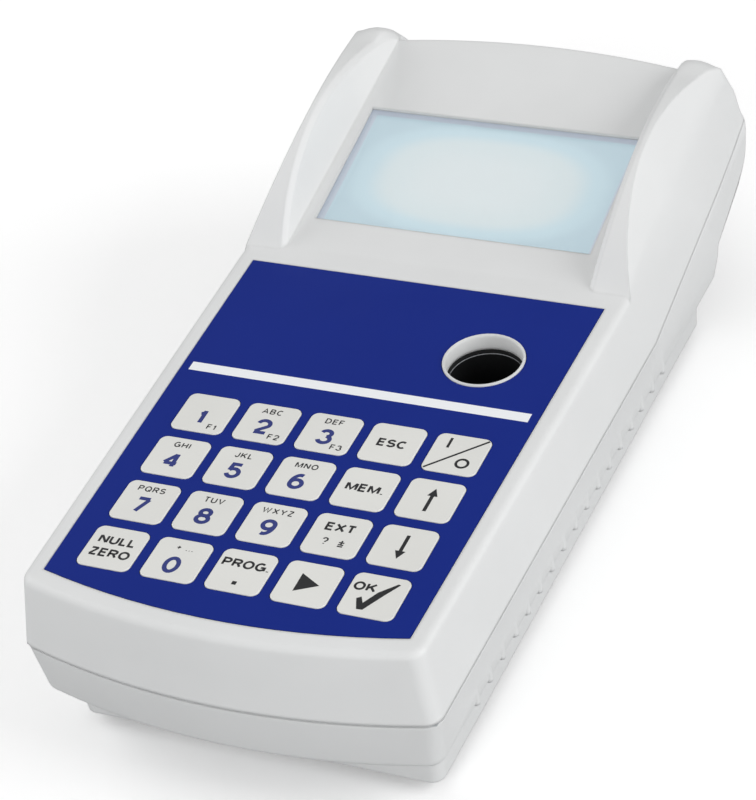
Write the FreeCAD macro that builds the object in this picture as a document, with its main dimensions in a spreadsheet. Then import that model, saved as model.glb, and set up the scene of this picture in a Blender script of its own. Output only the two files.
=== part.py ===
# Compact photometer: a hand-held bench instrument for round 16 mm test tubes.
# Frame: +X to the user's right, +Y from the keypad to the display, +Z up.
# Origin: on the table, under the middle of the overall box. Sizes are in millimetres.
import FreeCAD, Part
import Sketcher
import math
import os
import re

doc = FreeCAD.newDocument("photometer")
dims = doc.addObject("Spreadsheet::Sheet", "dims")

# Driving dimensions, grouped by the piece that they set
SIZES = [
    # outside of the housing
    ("body_length", 215.0), ("body_width", 100.0), ("body_height", 65.0), ("foot_height", 2.0),
    ("keypad_height", 45.0), ("split_height", 27.5), ("seam_gap", 0.6), ("split_knee", 25.2),
    ("split_rise", 10.0), ("side_flare", 1.27), ("side_draft", 8.0), ("plan_radius", 170.0),
    ("corner_radius", 4.0), ("wall", 2.5), ("deck_wall", 1.6),
    # display end of the upper shell
    ("rear_lean", 27.0), ("display_tilt", 10.0),
    ("panel_start", 19.2), ("panel_end", 94.4), ("panel_end_radius", 196.0),
    ("panel_edge_radius", 1.5), ("cheek_peak", 62.0), ("cheek_rear_radius", 90.0),
    ("trough_half_width", 37.4), ("trough_narrowing", 1.1), ("trough_draft", 11.0),
    ("top_edge_radius", 1.8), ("cheek_ridge_radius", 1.8), ("display_cavity_half", 43.0),
    ("cheek_draft", 24.0), ("cheek_turn", 23.5), ("cheek_turn_radius", 21.3),
    ("cheek_end", 8.0), ("cheek_end_height", 48.0),
    # skirt, base and overhang of the lower shell
    ("skirt_bottom", 13.5), ("skirt_draft", 7.0), ("skirt_edge_radius", 2.5),
    ("shell_step", 0.2), ("base_inset", 4.9), ("base_front", 94.0), ("base_rear", 67.2),
    ("base_corner_radius", 3.0), ("base_edge", 0.8), ("floor_thickness", 3.0),
    ("heel_rise", 9.3), ("heel_run", 4.0), ("overhang_rise", 16.3), ("tail_lean", 12.0),
    ("tail_radius", 6.0), ("seal_inset", 0.7), ("seal_width", 1.4),
    ("rib_count", 17), ("rib_pitch", 7.0), ("rib_first", 80.5), ("rib_height", 9.0),
    ("rib_radius", 0.9), ("rib_proud", 0.7),
    # screws and feet
    ("screw_x", 35.6), ("screw_front", 86.0), ("screw_rear", 16.0), ("screw_radius", 1.5),
    ("screw_gap", 0.05), ("screw_head_radius", 2.7), ("screw_head_height", 2.0),
    ("screw_length", 28.0), ("screw_sink", 5.0), ("column_radius", 3.7),
    ("foot_radius", 4.5), ("foot_sink", 1.0), ("foot_x", 37.0), ("foot_front", 70.0),
    ("foot_rear", 57.0),
    # keypad
    ("overlay_rear", 13.8), ("overlay_front", 95.1), ("overlay_rear_half", 43.1),
    ("overlay_front_half", 41.0), ("overlay_thickness", 0.5), ("overlay_gap", 0.15),
    ("spacer_thickness", 0.9), ("circuit_thickness", 0.6),
    ("key_size", 12.3), ("key_corner", 1.8), ("key_pitch_x", 14.75), ("key_pitch_y", 15.0),
    ("key_first_row", 40.8), ("key_proud", 0.2), ("key_gap", 0.15),
    ("key_edge", 0.3), ("dome_radius", 4.0), ("dome_height", 0.4),
    # tube well and optics
    ("well_x", 23.5), ("well_y", 9.4), ("tube_bore", 8.25), ("collar_bore", 8.6),
    ("collar_radius", 9.2), ("collar_proud", 0.4), ("holder_radius", 11.5),
    ("holder_base", 14.0), ("well_floor", 3.0), ("beam_height", 21.5), ("beam_radius", 2.5),
    ("seal_thickness", 1.2), ("seal_bore", 8.35), ("snout_radius", 5.0), ("snout_length", 19.0),
    ("detector_radius", 4.1), ("detector_height", 3.2), ("detector_side", 17.0),
    ("bracket_thickness", 2.5), ("bracket_foot", 12.0), ("lamp_tube_radius", 7.0),
    ("lamp_tube_length", 24.0), ("lamp_tube_bore", 5.0), ("lens_thickness", 3.0),
    ("lamp_radius", 3.0), ("lamp_length", 8.0), ("lamp_base_length", 9.0),
    # filter wheel and its drive
    ("wheel_teeth", 60), ("pinion_teeth", 12), ("tooth_pitch", 0.5), ("tooth_share", 0.36),
    ("wheel_thickness", 3.0), ("wheel_gap", 1.0), ("filter_count", 7), ("filter_circle", 10.2),
    ("filter_radius", 3.6), ("filter_thickness", 2.0), ("hub_radius", 3.5),
    ("axle_radius", 1.5), ("axle_gap", 0.05), ("clip_radius", 3.0), ("clip_thickness", 0.6),
    ("motor_radius", 7.5), ("motor_length", 12.0), ("shaft_radius", 0.75),
    ("pinion_thickness", 4.0),
    # display
    ("window_length", 68.5), ("window_depth", 38.0), ("window_front", 11.1),
    ("window_lip", 0.9), ("window_ledge", 1.6), ("window_thickness", 1.5),
    ("glass_thickness", 1.1), ("backlight_thickness", 3.5), ("board_thickness", 1.6),
    ("display_board_length", 84.0), ("display_board_depth", 50.0), ("part_gap", 0.1),
    ("post_radius", 2.3), ("post_margin", 3.3), ("small_screw_radius", 1.0),
    ("small_screw_length", 6.0), ("small_head_radius", 1.9), ("small_head_height", 1.2),
    # main board
    ("main_board_length", 80.0), ("main_board_depth", 35.0), ("main_board_front", 81.0),
    ("main_board_top", 35.0), ("ribbon_x", -23.0), ("ribbon_width", 14.0),
    ("ribbon_thickness", 0.4), ("ribbon_drop", 3.0), ("chip_size", 14.0), ("chip_height", 2.0),
    ("driver_width", 8.0), ("driver_depth", 12.0), ("driver_x", 22.0), ("plug_width", 18.0),
    ("plug_depth", 4.0), ("plug_height", 2.4),
    # batteries and their door
    ("cell_radius", 7.1), ("cell_length", 49.5), ("cell_nub", 1.0), ("cell_nub_radius", 2.75),
    ("cell_pitch", 14.8), ("cell_gap", 0.3), ("contact_thickness", 0.4),
    ("contact_reach", 0.8), ("contact_width", 10.0), ("bay_wall", 2.0),
    ("door_thickness", 2.2), ("door_lip", 0.9), ("door_gap", 0.15), ("door_tongue", 1.5),
    # sockets in the heel
    ("socket_x", 37.8), ("socket_height", 11.0), ("jack_radius", 4.0), ("jack_bore", 3.1),
    ("jack_pin", 1.0), ("jack_length", 12.0), ("port_width", 8.0), ("port_height", 4.0),
    ("port_length", 9.0),
]

for row, (alias, number) in enumerate(SIZES, start=1):
    dims.set(f"A{row}", alias)
    dims.set(f"B{row}", str(number))
    dims.setAlias(f"B{row}", alias)
doc.recompute()

WORDS = re.compile(r"\b(" + "|".join(alias for alias, number in SIZES) + r")\b")


def bound(text):
    """The same formula with every size name pointing at its cell of the sheet."""
    return WORDS.sub(r"dims.\1", text)


def value(text):
    """The number that a formula of size names gives."""
    return float(dims.evalExpression(bound(text)))


def plane(body, role):
    """One of a body's own origin planes, found by its role."""
    return next(item for item in body.Origin.OriginFeatures if item.Role == role)


def new_body(label):
    """An empty body that carries the sub-part's name."""
    body = doc.addObject("PartDesign::Body", label)
    body.Label = label
    return body


def place(sketch, offset, tilt):
    """Moves a sketch on its plane by three formulas and tilts it about its X axis."""
    sketch.AttachmentOffset = FreeCAD.Placement(
        FreeCAD.Vector(0, 0, 0), FreeCAD.Rotation(FreeCAD.Vector(1, 0, 0), 1.0)
    )
    for letter, text in zip("xyz", offset):
        sketch.setExpression(f".AttachmentOffset.Base.{letter}", bound(text))
    sketch.setExpression(".AttachmentOffset.Rotation.Angle", bound(tilt))


def new_sketch(body, name, role, offset=("0", "0", "0"), tilt="0"):
    """An empty sketch on one of the body's own origin planes."""
    sketch = body.newObject("Sketcher::SketchObject", name)
    sketch.AttachmentSupport = [(plane(body, role), "")]
    sketch.MapMode = "FlatFace"
    place(sketch, offset, tilt)
    return sketch


def pin_point(sketch, geometry, vertex, x, y):
    """Ties one point of a sketch to two formulas."""
    for kind, axis, text in (("DistanceX", -2, x), ("DistanceY", -1, y)):
        amount = value(text)
        if abs(amount) < 1e-9:
            sketch.addConstraint(Sketcher.Constraint("PointOnObject", geometry, vertex, axis))
        else:
            index = sketch.addConstraint(Sketcher.Constraint(kind, -1, 1, geometry, vertex, amount))
            sketch.setExpression(f"Constraints[{index}]", bound(text))


def add_outline(sketch, points):
    """A closed outline, anticlockwise. A third item in a point is the radius of the arc
    that leaves it, and a minus sign before that radius makes the arc hollow."""
    corners = [FreeCAD.Vector(value(point[0]), value(point[1]), 0) for point in points]
    first = sketch.GeometryCount
    ends = []
    for index, point in enumerate(points):
        start = corners[index]
        end = corners[(index + 1) % len(points)]
        if len(point) == 2:
            sketch.addGeometry(Part.LineSegment(start, end), False)
            ends.append((1, 2))
            continue
        hollow = point[2].startswith("-")
        radius = abs(value(point[2]))
        chord = end - start
        normal = FreeCAD.Vector(-chord.y, chord.x, 0).normalize()
        rise = math.sqrt(radius ** 2 - (chord.Length / 2) ** 2)
        centre = (start + end) * 0.5 + normal * (-rise if hollow else rise)
        low, high = (end, start) if hollow else (start, end)
        angles = [math.atan2(spot.y - centre.y, spot.x - centre.x) for spot in (low, high)]
        if angles[1] < angles[0]:
            angles[1] += 2 * math.pi
        circle = Part.Circle(centre, FreeCAD.Vector(0, 0, 1), radius)
        sketch.addGeometry(Part.ArcOfCircle(circle, *angles), False)
        ends.append((2, 1) if hollow else (1, 2))
    for index, point in enumerate(points):
        after = (index + 1) % len(points)
        here = first + index
        sketch.addConstraint(
            Sketcher.Constraint("Coincident", here, ends[index][1], first + after, ends[after][0])
        )
        pin_point(sketch, here, ends[index][0], point[0], point[1])
        if len(point) == 3:
            radius_text = point[2].lstrip("-")
            number = sketch.addConstraint(Sketcher.Constraint("Radius", here, value(radius_text)))
            sketch.setExpression(f"Constraints[{number}]", bound(radius_text))


def add_circle(sketch, x, y, radius):
    """A circle tied to its centre and radius."""
    centre = FreeCAD.Vector(value(x), value(y), 0)
    circle = Part.Circle(centre, FreeCAD.Vector(0, 0, 1), value(radius))
    index = sketch.addGeometry(circle, False)
    pin_point(sketch, index, 3, x, y)
    number = sketch.addConstraint(Sketcher.Constraint("Radius", index, value(radius)))
    sketch.setExpression(f"Constraints[{number}]", bound(radius))


def mirrored(half):
    """A whole outline from its right half, listed from the front to the rear."""
    left = []
    for index in range(len(half) - 1, -1, -1):
        x, y = half[index][0], half[index][1]
        mate = half[index - 1] if index else ()
        left.append((f"-({x})", y) + tuple(mate[2:3]))
    return [tuple(point) for point in half] + left


def finish_feature(feature):
    """Works a feature out, and stops the build if it failed."""
    doc.recompute()
    if "Invalid" in feature.State or "Error" in feature.State:
        raise RuntimeError(f"{feature.Name}: {feature.getStatusString()}")
    return feature


def pad(body, sketch, length, taper=None, reverse=False, midplane=False):
    """Raises a sketch into material."""
    feature = body.newObject("PartDesign::Pad", f"{sketch.Name}_pad")
    feature.Profile = sketch
    feature.setExpression("Length", bound(length))
    feature.Reversed = reverse
    feature.Midplane = midplane
    if taper:
        feature.setExpression("TaperAngle", bound(taper))
    return finish_feature(feature)


def pocket(body, sketch, length, taper=None, reverse=False, midplane=False):
    """Cuts a sketch out of the body, and stops the build if nothing was cut."""
    before = body.Shape.Volume
    feature = body.newObject("PartDesign::Pocket", f"{sketch.Name}_cut")
    feature.Profile = sketch
    feature.setExpression("Length", bound(length))
    feature.Reversed = reverse
    feature.Midplane = midplane
    if taper:
        feature.setExpression("TaperAngle", bound(taper))
    finish_feature(feature)
    if not body.Shape.Volume < before - 1e-3:
        raise RuntimeError(f"{feature.Name} cuts nothing")
    return feature


def edge_names(shape, test):
    """The names of the edges whose middle point and length pass a test."""
    names = []
    for index, edge in enumerate(shape.Edges, start=1):
        middle = edge.valueAt((edge.FirstParameter + edge.LastParameter) / 2)
        if test(middle, edge):
            names.append(f"Edge{index}")
    return names


def round_edges(body, radius, test, name, kind="Fillet"):
    """Rounds the body's edges that pass a test, or bevels them."""
    base = body.Tip
    names = edge_names(base.Shape, test)
    feature = body.newObject(f"PartDesign::{kind}", name)
    feature.Base = (base, names)
    feature.setExpression("Radius" if kind == "Fillet" else "Size", bound(radius))
    return finish_feature(feature)


# Plan lines that both shells share. The sides spread towards the display.
FRONT_HALF = "(body_width/2 - (split_knee + body_length/2)*tan(side_flare))"
FRONT_CORNER = f"-(body_length/2 - plan_radius + sqrt(plan_radius^2 - {FRONT_HALF}^2))"
SEAM_TOP = "(split_height + seam_gap/2)"
SEAM_BOTTOM = "(split_height - seam_gap/2)"
KEYPAD_FLOOR = "(keypad_height - overlay_thickness - spacer_thickness - circuit_thickness)"
DECK_CEILING = f"({KEYPAD_FLOOR} - deck_wall)"
BASE_FLOOR = "(foot_height + floor_thickness)"
SCREW_TIP = "(foot_height + screw_sink + screw_head_height + screw_length)"
FAR = "(body_length*0.6)"
HEEL_END = "(base_rear + heel_run)"
HEEL_TOP = "(skirt_bottom + heel_rise)"
CIRCUIT_TOP = f"({KEYPAD_FLOOR} + circuit_thickness)"
WELL = [("well_x", "-well_y")]
DETECTOR_SEAT = "(holder_radius + part_gap*5)"
WHEEL_X = "(well_x - filter_circle)"
WHEEL_BACK = "(-well_y - snout_length - wheel_gap - wheel_thickness)"
BRACKET_FRONT = f"({WHEEL_BACK} - wheel_gap)"
BRACKET_BACK = f"({BRACKET_FRONT} - bracket_thickness)"
MOTOR_X = f"({WHEEL_X} - tooth_pitch*(wheel_teeth + pinion_teeth)/2)"
RIBBON_FRONT = "(main_board_depth - main_board_front - part_gap*30)"
REAR_SPLIT = f"({SEAM_TOP} + (body_length/2 - split_knee)*tan(split_rise))"
DOOR_TOP = "(foot_height + door_thickness)"
DOOR_WIDTH = "(cell_pitch*3 + cell_radius*2 + cell_gap*4)"
BAY_WIDTH = "(cell_pitch*3 + cell_radius*2 + cell_gap*2)"
BAY_DEPTH = "(cell_length + cell_nub + (contact_thickness + contact_reach)*2 + cell_gap)"
BAY_FRONT = f"(base_rear - bay_wall - {BAY_DEPTH})"
BAY_MIDDLE = f"({BAY_FRONT} + {BAY_DEPTH}/2)"
BAY_CEILING = f"({DOOR_TOP} + cell_radius*2 + cell_gap*2)"


def half_at(y, inset="0"):
    """Half the width at the widest level, for a place along the body."""
    return f"({FRONT_HALF} + (({y}) + body_length/2)*tan(side_flare) - ({inset}))"


def plan_outline(inset, rear=FAR):
    """The plan with an arc at the front, run out straight past the rear."""
    radius = f"(plan_radius - ({inset}))"
    half = half_at(FRONT_CORNER, inset)
    front = f"-(body_length/2 - plan_radius + sqrt({radius}^2 - {half}^2))"
    points = mirrored([(half, front), (half_at(rear, inset), rear)])
    points[-1] = points[-1] + (radius,)
    return points


def behind_arc(apex, radius, half, far="(body_length*1.5)"):
    """The area behind a rear wall that is an arc in plan."""
    corner = f"(({apex}) - ({radius}) + sqrt(({radius})^2 - ({half})^2))"
    return [(f"-({half})", corner, f"-({radius})"), (half, corner), (half, far), (f"-({half})", far)]


def cheek_profile():
    """What lies above the deck and the cheeks, seen from the side."""
    rise = "(body_height - keypad_height)"
    run = "(cheek_peak - panel_start)"
    front_radius = f"(({run}^2 + {rise}^2)/(2*{rise}))"
    drop = f"(cheek_rear_radius - sqrt(cheek_rear_radius^2 - ({FAR} - cheek_peak)^2))"
    return [
        ("-body_length", "keypad_height"), ("panel_start", "keypad_height", f"-{front_radius}"),
        ("cheek_peak", "body_height", "-cheek_rear_radius"), (FAR, f"(body_height - {drop})"),
        (FAR, "body_height*2"), ("-body_length", "body_height*2"),
    ]


def split_z(y, level):
    """Height of the parting line behind its knee."""
    return f"(({level}) + (({y}) - split_knee)*tan(split_rise))"


def below_split(level):
    """What lies under the rising part of the parting line, seen from the side."""
    return [("split_knee", level), (FAR, "split_height/2"), (FAR, split_z(FAR, level))]


def above_split(level):
    """What lies over the parting line, seen from the side."""
    return [
        ("-body_length", level), ("split_knee", level), (FAR, split_z(FAR, level)),
        (FAR, "body_height*2"), ("-body_length", "body_height*2"),
    ]


def overhang_z(y):
    """Height of the sloping underside behind the heel."""
    return f"({HEEL_TOP} + (({y}) - {HEEL_END})*tan(overhang_rise))"


def panel_z(y):
    """Height of the display panel at a place along the body."""
    return f"(keypad_height + (({y}) - panel_start)*tan(display_tilt))"


def panel_frame(depth):
    """Where a sketch starts that lies parallel to the display panel, below its face."""
    return (
        "0", f"(panel_start + ({depth})*sin(display_tilt))",
        f"(keypad_height - ({depth})*cos(display_tilt))",
    )


def rear_y(z):
    """The middle of the leaning rear wall at a height."""
    return f"(body_length/2 - (({z}) - {REAR_SPLIT})*tan(rear_lean))"


def rectangle(x, y, width, depth):
    """A rectangle about a centre."""
    left, right = f"({x} - ({width})/2)", f"({x} + ({width})/2)"
    low, high = f"({y} - ({depth})/2)", f"({y} + ({depth})/2)"
    return [(left, low), (right, low), (right, high), (left, high)]


def four_corners(x, near, far):
    """Two places near the front and two near the rear."""
    return [(sign + x, y) for y in (near, far) for sign in ("-", "")]


SCREWS = four_corners("screw_x", "-screw_front", "screw_rear")
FEET = four_corners("foot_x", "-foot_front", "foot_rear")
WINDOW_MIDDLE = "(window_front + window_depth/2)"
DISPLAY_POSTS = four_corners(
    "(display_board_length/2 - post_margin)",
    f"({WINDOW_MIDDLE} - display_board_depth/2 + post_margin)",
    f"({WINDOW_MIDDLE} + display_board_depth/2 - post_margin)",
)
MAIN_BOARD_MIDDLE = "(main_board_depth/2 - main_board_front)"
BOARD_POSTS = four_corners(
    "(main_board_length/2 - post_margin)",
    f"({MAIN_BOARD_MIDDLE} - main_board_depth/2 + post_margin)",
    f"({MAIN_BOARD_MIDDLE} + main_board_depth/2 - post_margin)",
)
GLASS_DEPTH = "(window_lip + window_thickness + part_gap)"
BACKLIGHT_DEPTH = f"({GLASS_DEPTH} + glass_thickness)"
DISPLAY_BOARD_DEPTH = f"({BACKLIGHT_DEPTH} + backlight_thickness)"


def overlay_outline(grow):
    """Plan of the blue keypad panel, with its bowed front edge."""
    points = mirrored([
        (f"(overlay_front_half + ({grow}))", f"-(overlay_front + ({grow}))"),
        (f"(overlay_rear_half + ({grow}))", f"(overlay_rear + ({grow}))"),
    ])
    points[-1] = points[-1] + ("plan_radius",)
    return points


def circles(body, name, spots, radius, height, tilt="0"):
    """A sketch of like circles."""
    offset = height if isinstance(height, tuple) else ("0", "0", height)
    sketch = new_sketch(body, name, "XY_Plane", offset, tilt)
    for x, y in spots:
        add_circle(sketch, x, y, radius)
    return sketch


def shape_at(body, name, outline, height, tilt="0"):
    """A sketch of one outline, level or parallel to the display panel."""
    offset = height if isinstance(height, tuple) else ("0", "0", height)
    sketch = new_sketch(body, name, "XY_Plane", offset, tilt)
    add_outline(sketch, outline)
    return sketch


def side_view(body, name, outline):
    """A sketch seen from the side: along the body, then up."""
    sketch = new_sketch(body, name, "YZ_Plane")
    add_outline(sketch, outline)
    return sketch


def cheek_sides(body):
    """The leaning outer face of each cheek, over a crease level with the display panel,
    and its round shoulder at the rear."""
    crease = f"({half_at('panel_start')} - (keypad_height - {SEAM_TOP})*tan(side_draft))"
    turn = "(body_length/2 - cheek_turn)"
    drop = f"(cheek_rear_radius - sqrt(cheek_rear_radius^2 - ({turn} - cheek_peak)^2))"
    end = "(body_length/2 - cheek_end)"
    inner = "(trough_half_width - trough_narrowing)"
    for sign, name in (("-", "left"), ("", "right")):
        outside = rectangle(
            f"{sign}({crease} + body_width/2)", "body_length/4", "body_width", "body_length/2"
        )
        face = shape_at(body, f"{name}_face", outside, panel_frame("0"), "display_tilt")
        pocket(body, face, "body_height", "cheek_draft", reverse=True)
        shoulder = new_sketch(body, f"{name}_shoulder", "YZ_Plane", ("0", "0", f"{sign}{inner}"))
        add_outline(shoulder, [
            (turn, f"(body_height - {drop})", "-cheek_turn_radius"), (end, "cheek_end_height"),
            (FAR, "cheek_end_height"), (FAR, "body_height*2"), (turn, "body_height*2"),
        ])
        pocket(body, shoulder, "body_width/2", reverse=not sign)


def top_form(body):
    """Outer form of the upper shell, still solid."""
    plan = shape_at(body, "top_plan", plan_outline("0"), SEAM_TOP)
    pad(body, plan, f"body_height - {SEAM_TOP} + wall", "-side_draft")
    top = "(body_height + wall*2)"
    rear = shape_at(body, "top_rear", behind_arc(rear_y(top), "plan_radius", "body_width"), top)
    pocket(body, rear, f"{top} - split_height", "-rear_lean")
    pocket(body, side_view(body, "cheek_side", cheek_profile()), "body_width*1.5", midplane=True)
    deck = value("keypad_height")
    seam = value(SEAM_TOP)
    start = value("panel_start")

    def corner(middle, edge):
        box = edge.BoundBox
        return box.ZLength > 0.5 * (deck - seam) and box.YLength < box.ZLength

    def rim(middle, edge):
        box = edge.BoundBox
        on_deck = middle.y < start and (box.YLength > 5 or middle.y < 0)
        return box.ZMin > deck - 0.5 and on_deck

    round_edges(body, "corner_radius", corner, "top_corners")
    cheek_sides(body)
    round_edges(body, "top_edge_radius", rim, "top_rim")


def display_trough(body):
    """The sunk panel between the cheeks, open at the rear."""
    far = "(body_length/2)"
    slope = "((panel_end - panel_start)/cos(display_tilt))"
    narrow = f"(trough_half_width - trough_narrowing*{far}/{slope})"
    floor = mirrored([("trough_half_width", "0"), (narrow, far)])
    trough = shape_at(body, "trough", floor, panel_frame("0"), "display_tilt")
    pocket(body, trough, "body_height", "trough_draft", reverse=True)

    def ridge(middle, edge):
        above = middle.z > value(panel_z(str(middle.y))) + value("wall")
        inside = abs(abs(middle.x) - value("trough_half_width")) < value("wall")
        return edge.BoundBox.YLength > 15 and inside and above

    round_edges(body, "cheek_ridge_radius*0.6", ridge, "cheek_ridges", "Chamfer")
    half = "(trough_half_width - trough_narrowing)"
    over = "wall"
    panel_top = panel_z("panel_end")
    lean = f"((body_length/2 - panel_end)/({panel_top} - {REAR_SPLIT}))"
    below = f"({REAR_SPLIT} - {over})"
    apex = f"(body_length/2 + {over}*{lean})"
    low = shape_at(body, "rear_wall_low", behind_arc(apex, "plan_radius", half), below)
    high = shape_at(
        body, "rear_wall_high",
        behind_arc(f"(panel_end - {over}*{lean})", "panel_end_radius", half), f"({panel_top} + {over})",
    )
    cut = body.newObject("PartDesign::SubtractiveLoft", "rear_wall_cut")
    cut.Profile = low
    cut.Sections = [high]
    cut.Ruled = True
    doc.recompute()
    end = value("panel_end")

    def panel_edge(middle, edge):
        return abs(middle.x) < 1 and edge.BoundBox.XLength > value(half) and abs(middle.y - end) < 1

    round_edges(body, "panel_edge_radius", panel_edge, "panel_edge")


def top_hollow(body):
    """The space inside the upper shell: under the deck, and under the display panel."""
    apex = "(body_length/2 - wall*1.5)"
    radius = "(plan_radius - wall)"
    half = half_at("body_length/2", "wall*2")
    corner = f"({apex} - {radius} + sqrt({radius}^2 - {half}^2))"
    outline = plan_outline("wall", corner)
    outline[1] = (half_at(corner, "wall"), corner, f"({radius})")
    under_deck = shape_at(body, "under_deck", outline, SEAM_TOP)
    pocket(body, under_deck, f"{DECK_CEILING} - {SEAM_TOP}", "-side_draft", reverse=True)
    start = "(panel_start + wall)"
    half = "display_cavity_half"
    low = f"(body_length/2 - plan_radius + sqrt(plan_radius^2 - {half}^2) - wall*1.4)"
    sag = "(panel_end_radius - sqrt(panel_end_radius^2 - trough_half_width^2))"
    high = f"(panel_end - {sag} - wall*1.2)"
    roof = "wall/cos(display_tilt)"
    ceiling = f"({DECK_CEILING} - wall/2)"
    under_panel = side_view(body, "under_panel", [
        (start, ceiling), (low, ceiling), (low, DECK_CEILING),
        (high, f"({panel_z(high)} - {roof})"), (start, f"({panel_z(start)} - {roof})"),
    ])
    pocket(body, under_panel, "display_cavity_half*2", midplane=True)


def top_posts(body):
    """Posts that hang from the deck and the panel for screws and boards."""
    posts = circles(body, "screw_posts", SCREWS, "column_radius", SEAM_TOP)
    pad(body, posts, f"{DECK_CEILING} - {SEAM_TOP} + deck_wall/2")
    boards = circles(body, "board_posts", BOARD_POSTS, "post_radius", "main_board_top")
    pad(body, boards, f"{DECK_CEILING} - main_board_top + deck_wall/2")
    start = panel_frame(DISPLAY_BOARD_DEPTH)
    display = circles(body, "display_posts", DISPLAY_POSTS, "post_radius", start, "display_tilt")
    pad(body, display, f"{DISPLAY_BOARD_DEPTH} - wall/2")
    pocket(body, side_view(body, "top_split", below_split(SEAM_TOP)), "body_width*2", midplane=True)
    bores = circles(body, "screw_bores", SCREWS, "screw_radius + screw_gap", SEAM_TOP)
    pocket(body, bores, f"{SCREW_TIP} + wall/2 - {SEAM_TOP}", reverse=True)
    bore = "small_screw_radius + screw_gap"
    depth = "small_screw_length - board_thickness + wall/4"
    pocket(body, circles(body, "board_bores", BOARD_POSTS, bore, "main_board_top"), depth, reverse=True)
    display = circles(body, "display_bores", DISPLAY_POSTS, bore, start, "display_tilt")
    pocket(body, display, depth, reverse=True)


def top_openings(body):
    """The keypad recess, the collar for the tube and the stepped display window."""
    recess = shape_at(body, "keypad_recess", overlay_outline("overlay_gap"), "keypad_height")
    pocket(body, recess, f"keypad_height - {KEYPAD_FLOOR}")
    pad(
        body, circles(body, "collar", WELL, "collar_radius", DECK_CEILING),
        f"keypad_height + collar_proud - {DECK_CEILING}",
    )
    bore = circles(body, "collar_bore_cut", WELL, "collar_bore", "(keypad_height + wall)")
    pocket(body, bore, f"keypad_height + wall*2 - {DECK_CEILING}")
    window = rectangle("0", WINDOW_MIDDLE, "window_length", "window_depth")
    sketch = shape_at(body, "window", window, panel_frame("0"), "display_tilt")
    pocket(body, sketch, "wall*2")
    ledge = rectangle(
        "0", WINDOW_MIDDLE, "(window_length + window_ledge*2 + part_gap*2)",
        "(window_depth + window_ledge*2 + part_gap*2)",
    )
    sketch = shape_at(body, "ledge", ledge, panel_frame("window_lip"), "display_tilt")
    pocket(body, sketch, "wall*2")
    top = value("keypad_height + collar_proud")

    def mouth(spot, edge):
        return abs(spot.z - top) < 0.01

    round_edges(body, "collar_proud*0.5", mouth, "collar_mouth", "Chamfer")


def top_shell():
    """Upper shell: keypad deck, display panel between two cheeks, and a collar for the tube."""
    body = new_body("top_shell")
    top_form(body)
    display_trough(body)
    top_hollow(body)
    top_posts(body)
    top_openings(body)
    return body


def bottom_form(body):
    """Outer form of the lower shell, still solid: skirt, rising tail and inset base."""
    outline = plan_outline("shell_step")
    skirt = shape_at(body, "skirt_plan", outline, SEAM_BOTTOM)
    pad(body, skirt, f"{SEAM_BOTTOM} - skirt_bottom", "-skirt_draft", reverse=True)
    tail = shape_at(body, "tail_plan", outline, SEAM_BOTTOM)
    pad(body, tail, f"{REAR_SPLIT} - {SEAM_BOTTOM} + wall", "-side_draft")
    apex = f"(body_length/2 - shell_step - {REAR_SPLIT}*tan(tail_lean))"
    rear = shape_at(body, "tail_rear", behind_arc(apex, "plan_radius", "body_width"), "0")
    pocket(body, rear, "body_height", "-tail_lean", reverse=True)
    underside = side_view(body, "underside", [
        ("base_rear", "-wall"), (FAR, "-wall"), (FAR, overhang_z(FAR)),
        (HEEL_END, HEEL_TOP), ("base_rear", "skirt_bottom"),
    ])
    pocket(body, underside, "body_width*2", midplane=True)
    pocket(body, side_view(body, "bottom_split", above_split(SEAM_BOTTOM)), "body_width*2", midplane=True)
    low = value("skirt_bottom")
    split = value(SEAM_BOTTOM)

    def corner(middle, edge):
        box = edge.BoundBox
        return box.ZLength > 0.5 * (split - low) and abs(box.XLength) < 4 and box.YLength < 4

    def lower_edge(middle, edge):
        return edge.BoundBox.ZMax < low + 0.1 and middle.y < value("base_rear") - 1

    def tail_edge(middle, edge):
        behind = middle.y > value("body_length*0.4")
        return behind and abs(middle.x) < 1 and middle.z < value(REAR_SPLIT) - 5

    round_edges(body, "tail_radius", tail_edge, "tail_edge")
    round_edges(body, "corner_radius", corner, "skirt_corners")
    round_edges(body, "skirt_edge_radius", lower_edge, "skirt_edge")
    edge = "(body_width/2 - shell_step/2)"
    for sign, name in (("-", "left_side"), ("", "right_side")):
        side = rectangle(f"{sign}({edge} + wall)", "0", "wall*2", "body_length*2")
        pocket(body, shape_at(body, name, side, "body_height"), "body_height")
    base = mirrored([
        (half_at("-base_front", "base_inset"), "-base_front"),
        (half_at("base_rear", "base_inset"), "base_rear"),
    ])
    pad(body, shape_at(body, "base_plan", base, "foot_height"), "skirt_bottom - foot_height + wall/2")

    def base_corner(middle, edge):
        upright = edge.BoundBox.ZLength > 0.7 * (low - value("foot_height"))
        return upright and edge.BoundBox.YLength < 1 and middle.z < low

    def base_edge(middle, edge):
        return edge.BoundBox.ZMax < value("foot_height") + 0.01

    round_edges(body, "base_corner_radius", base_corner, "base_corners")
    round_edges(body, "base_edge", base_edge, "base_edges", "Chamfer")


def side_ribs(body):
    """Upright grip ribs low on both sides, which fade out as the skirt leans away."""
    sketch = new_sketch(body, "ribs", "XY_Plane", ("0", "0", "skirt_bottom + rib_radius"))
    lean = f"({SEAM_BOTTOM} - skirt_bottom)*tan(skirt_draft)"
    for number in range(int(value("rib_count"))):
        y = f"(rib_pitch*{number} - rib_first)"
        x = half_at(y, f"shell_step + {lean} + rib_radius - rib_proud")
        for sign in ("-", ""):
            add_circle(sketch, f"{sign}{x}", y, "rib_radius")
    pad(body, sketch, "rib_height")


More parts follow.
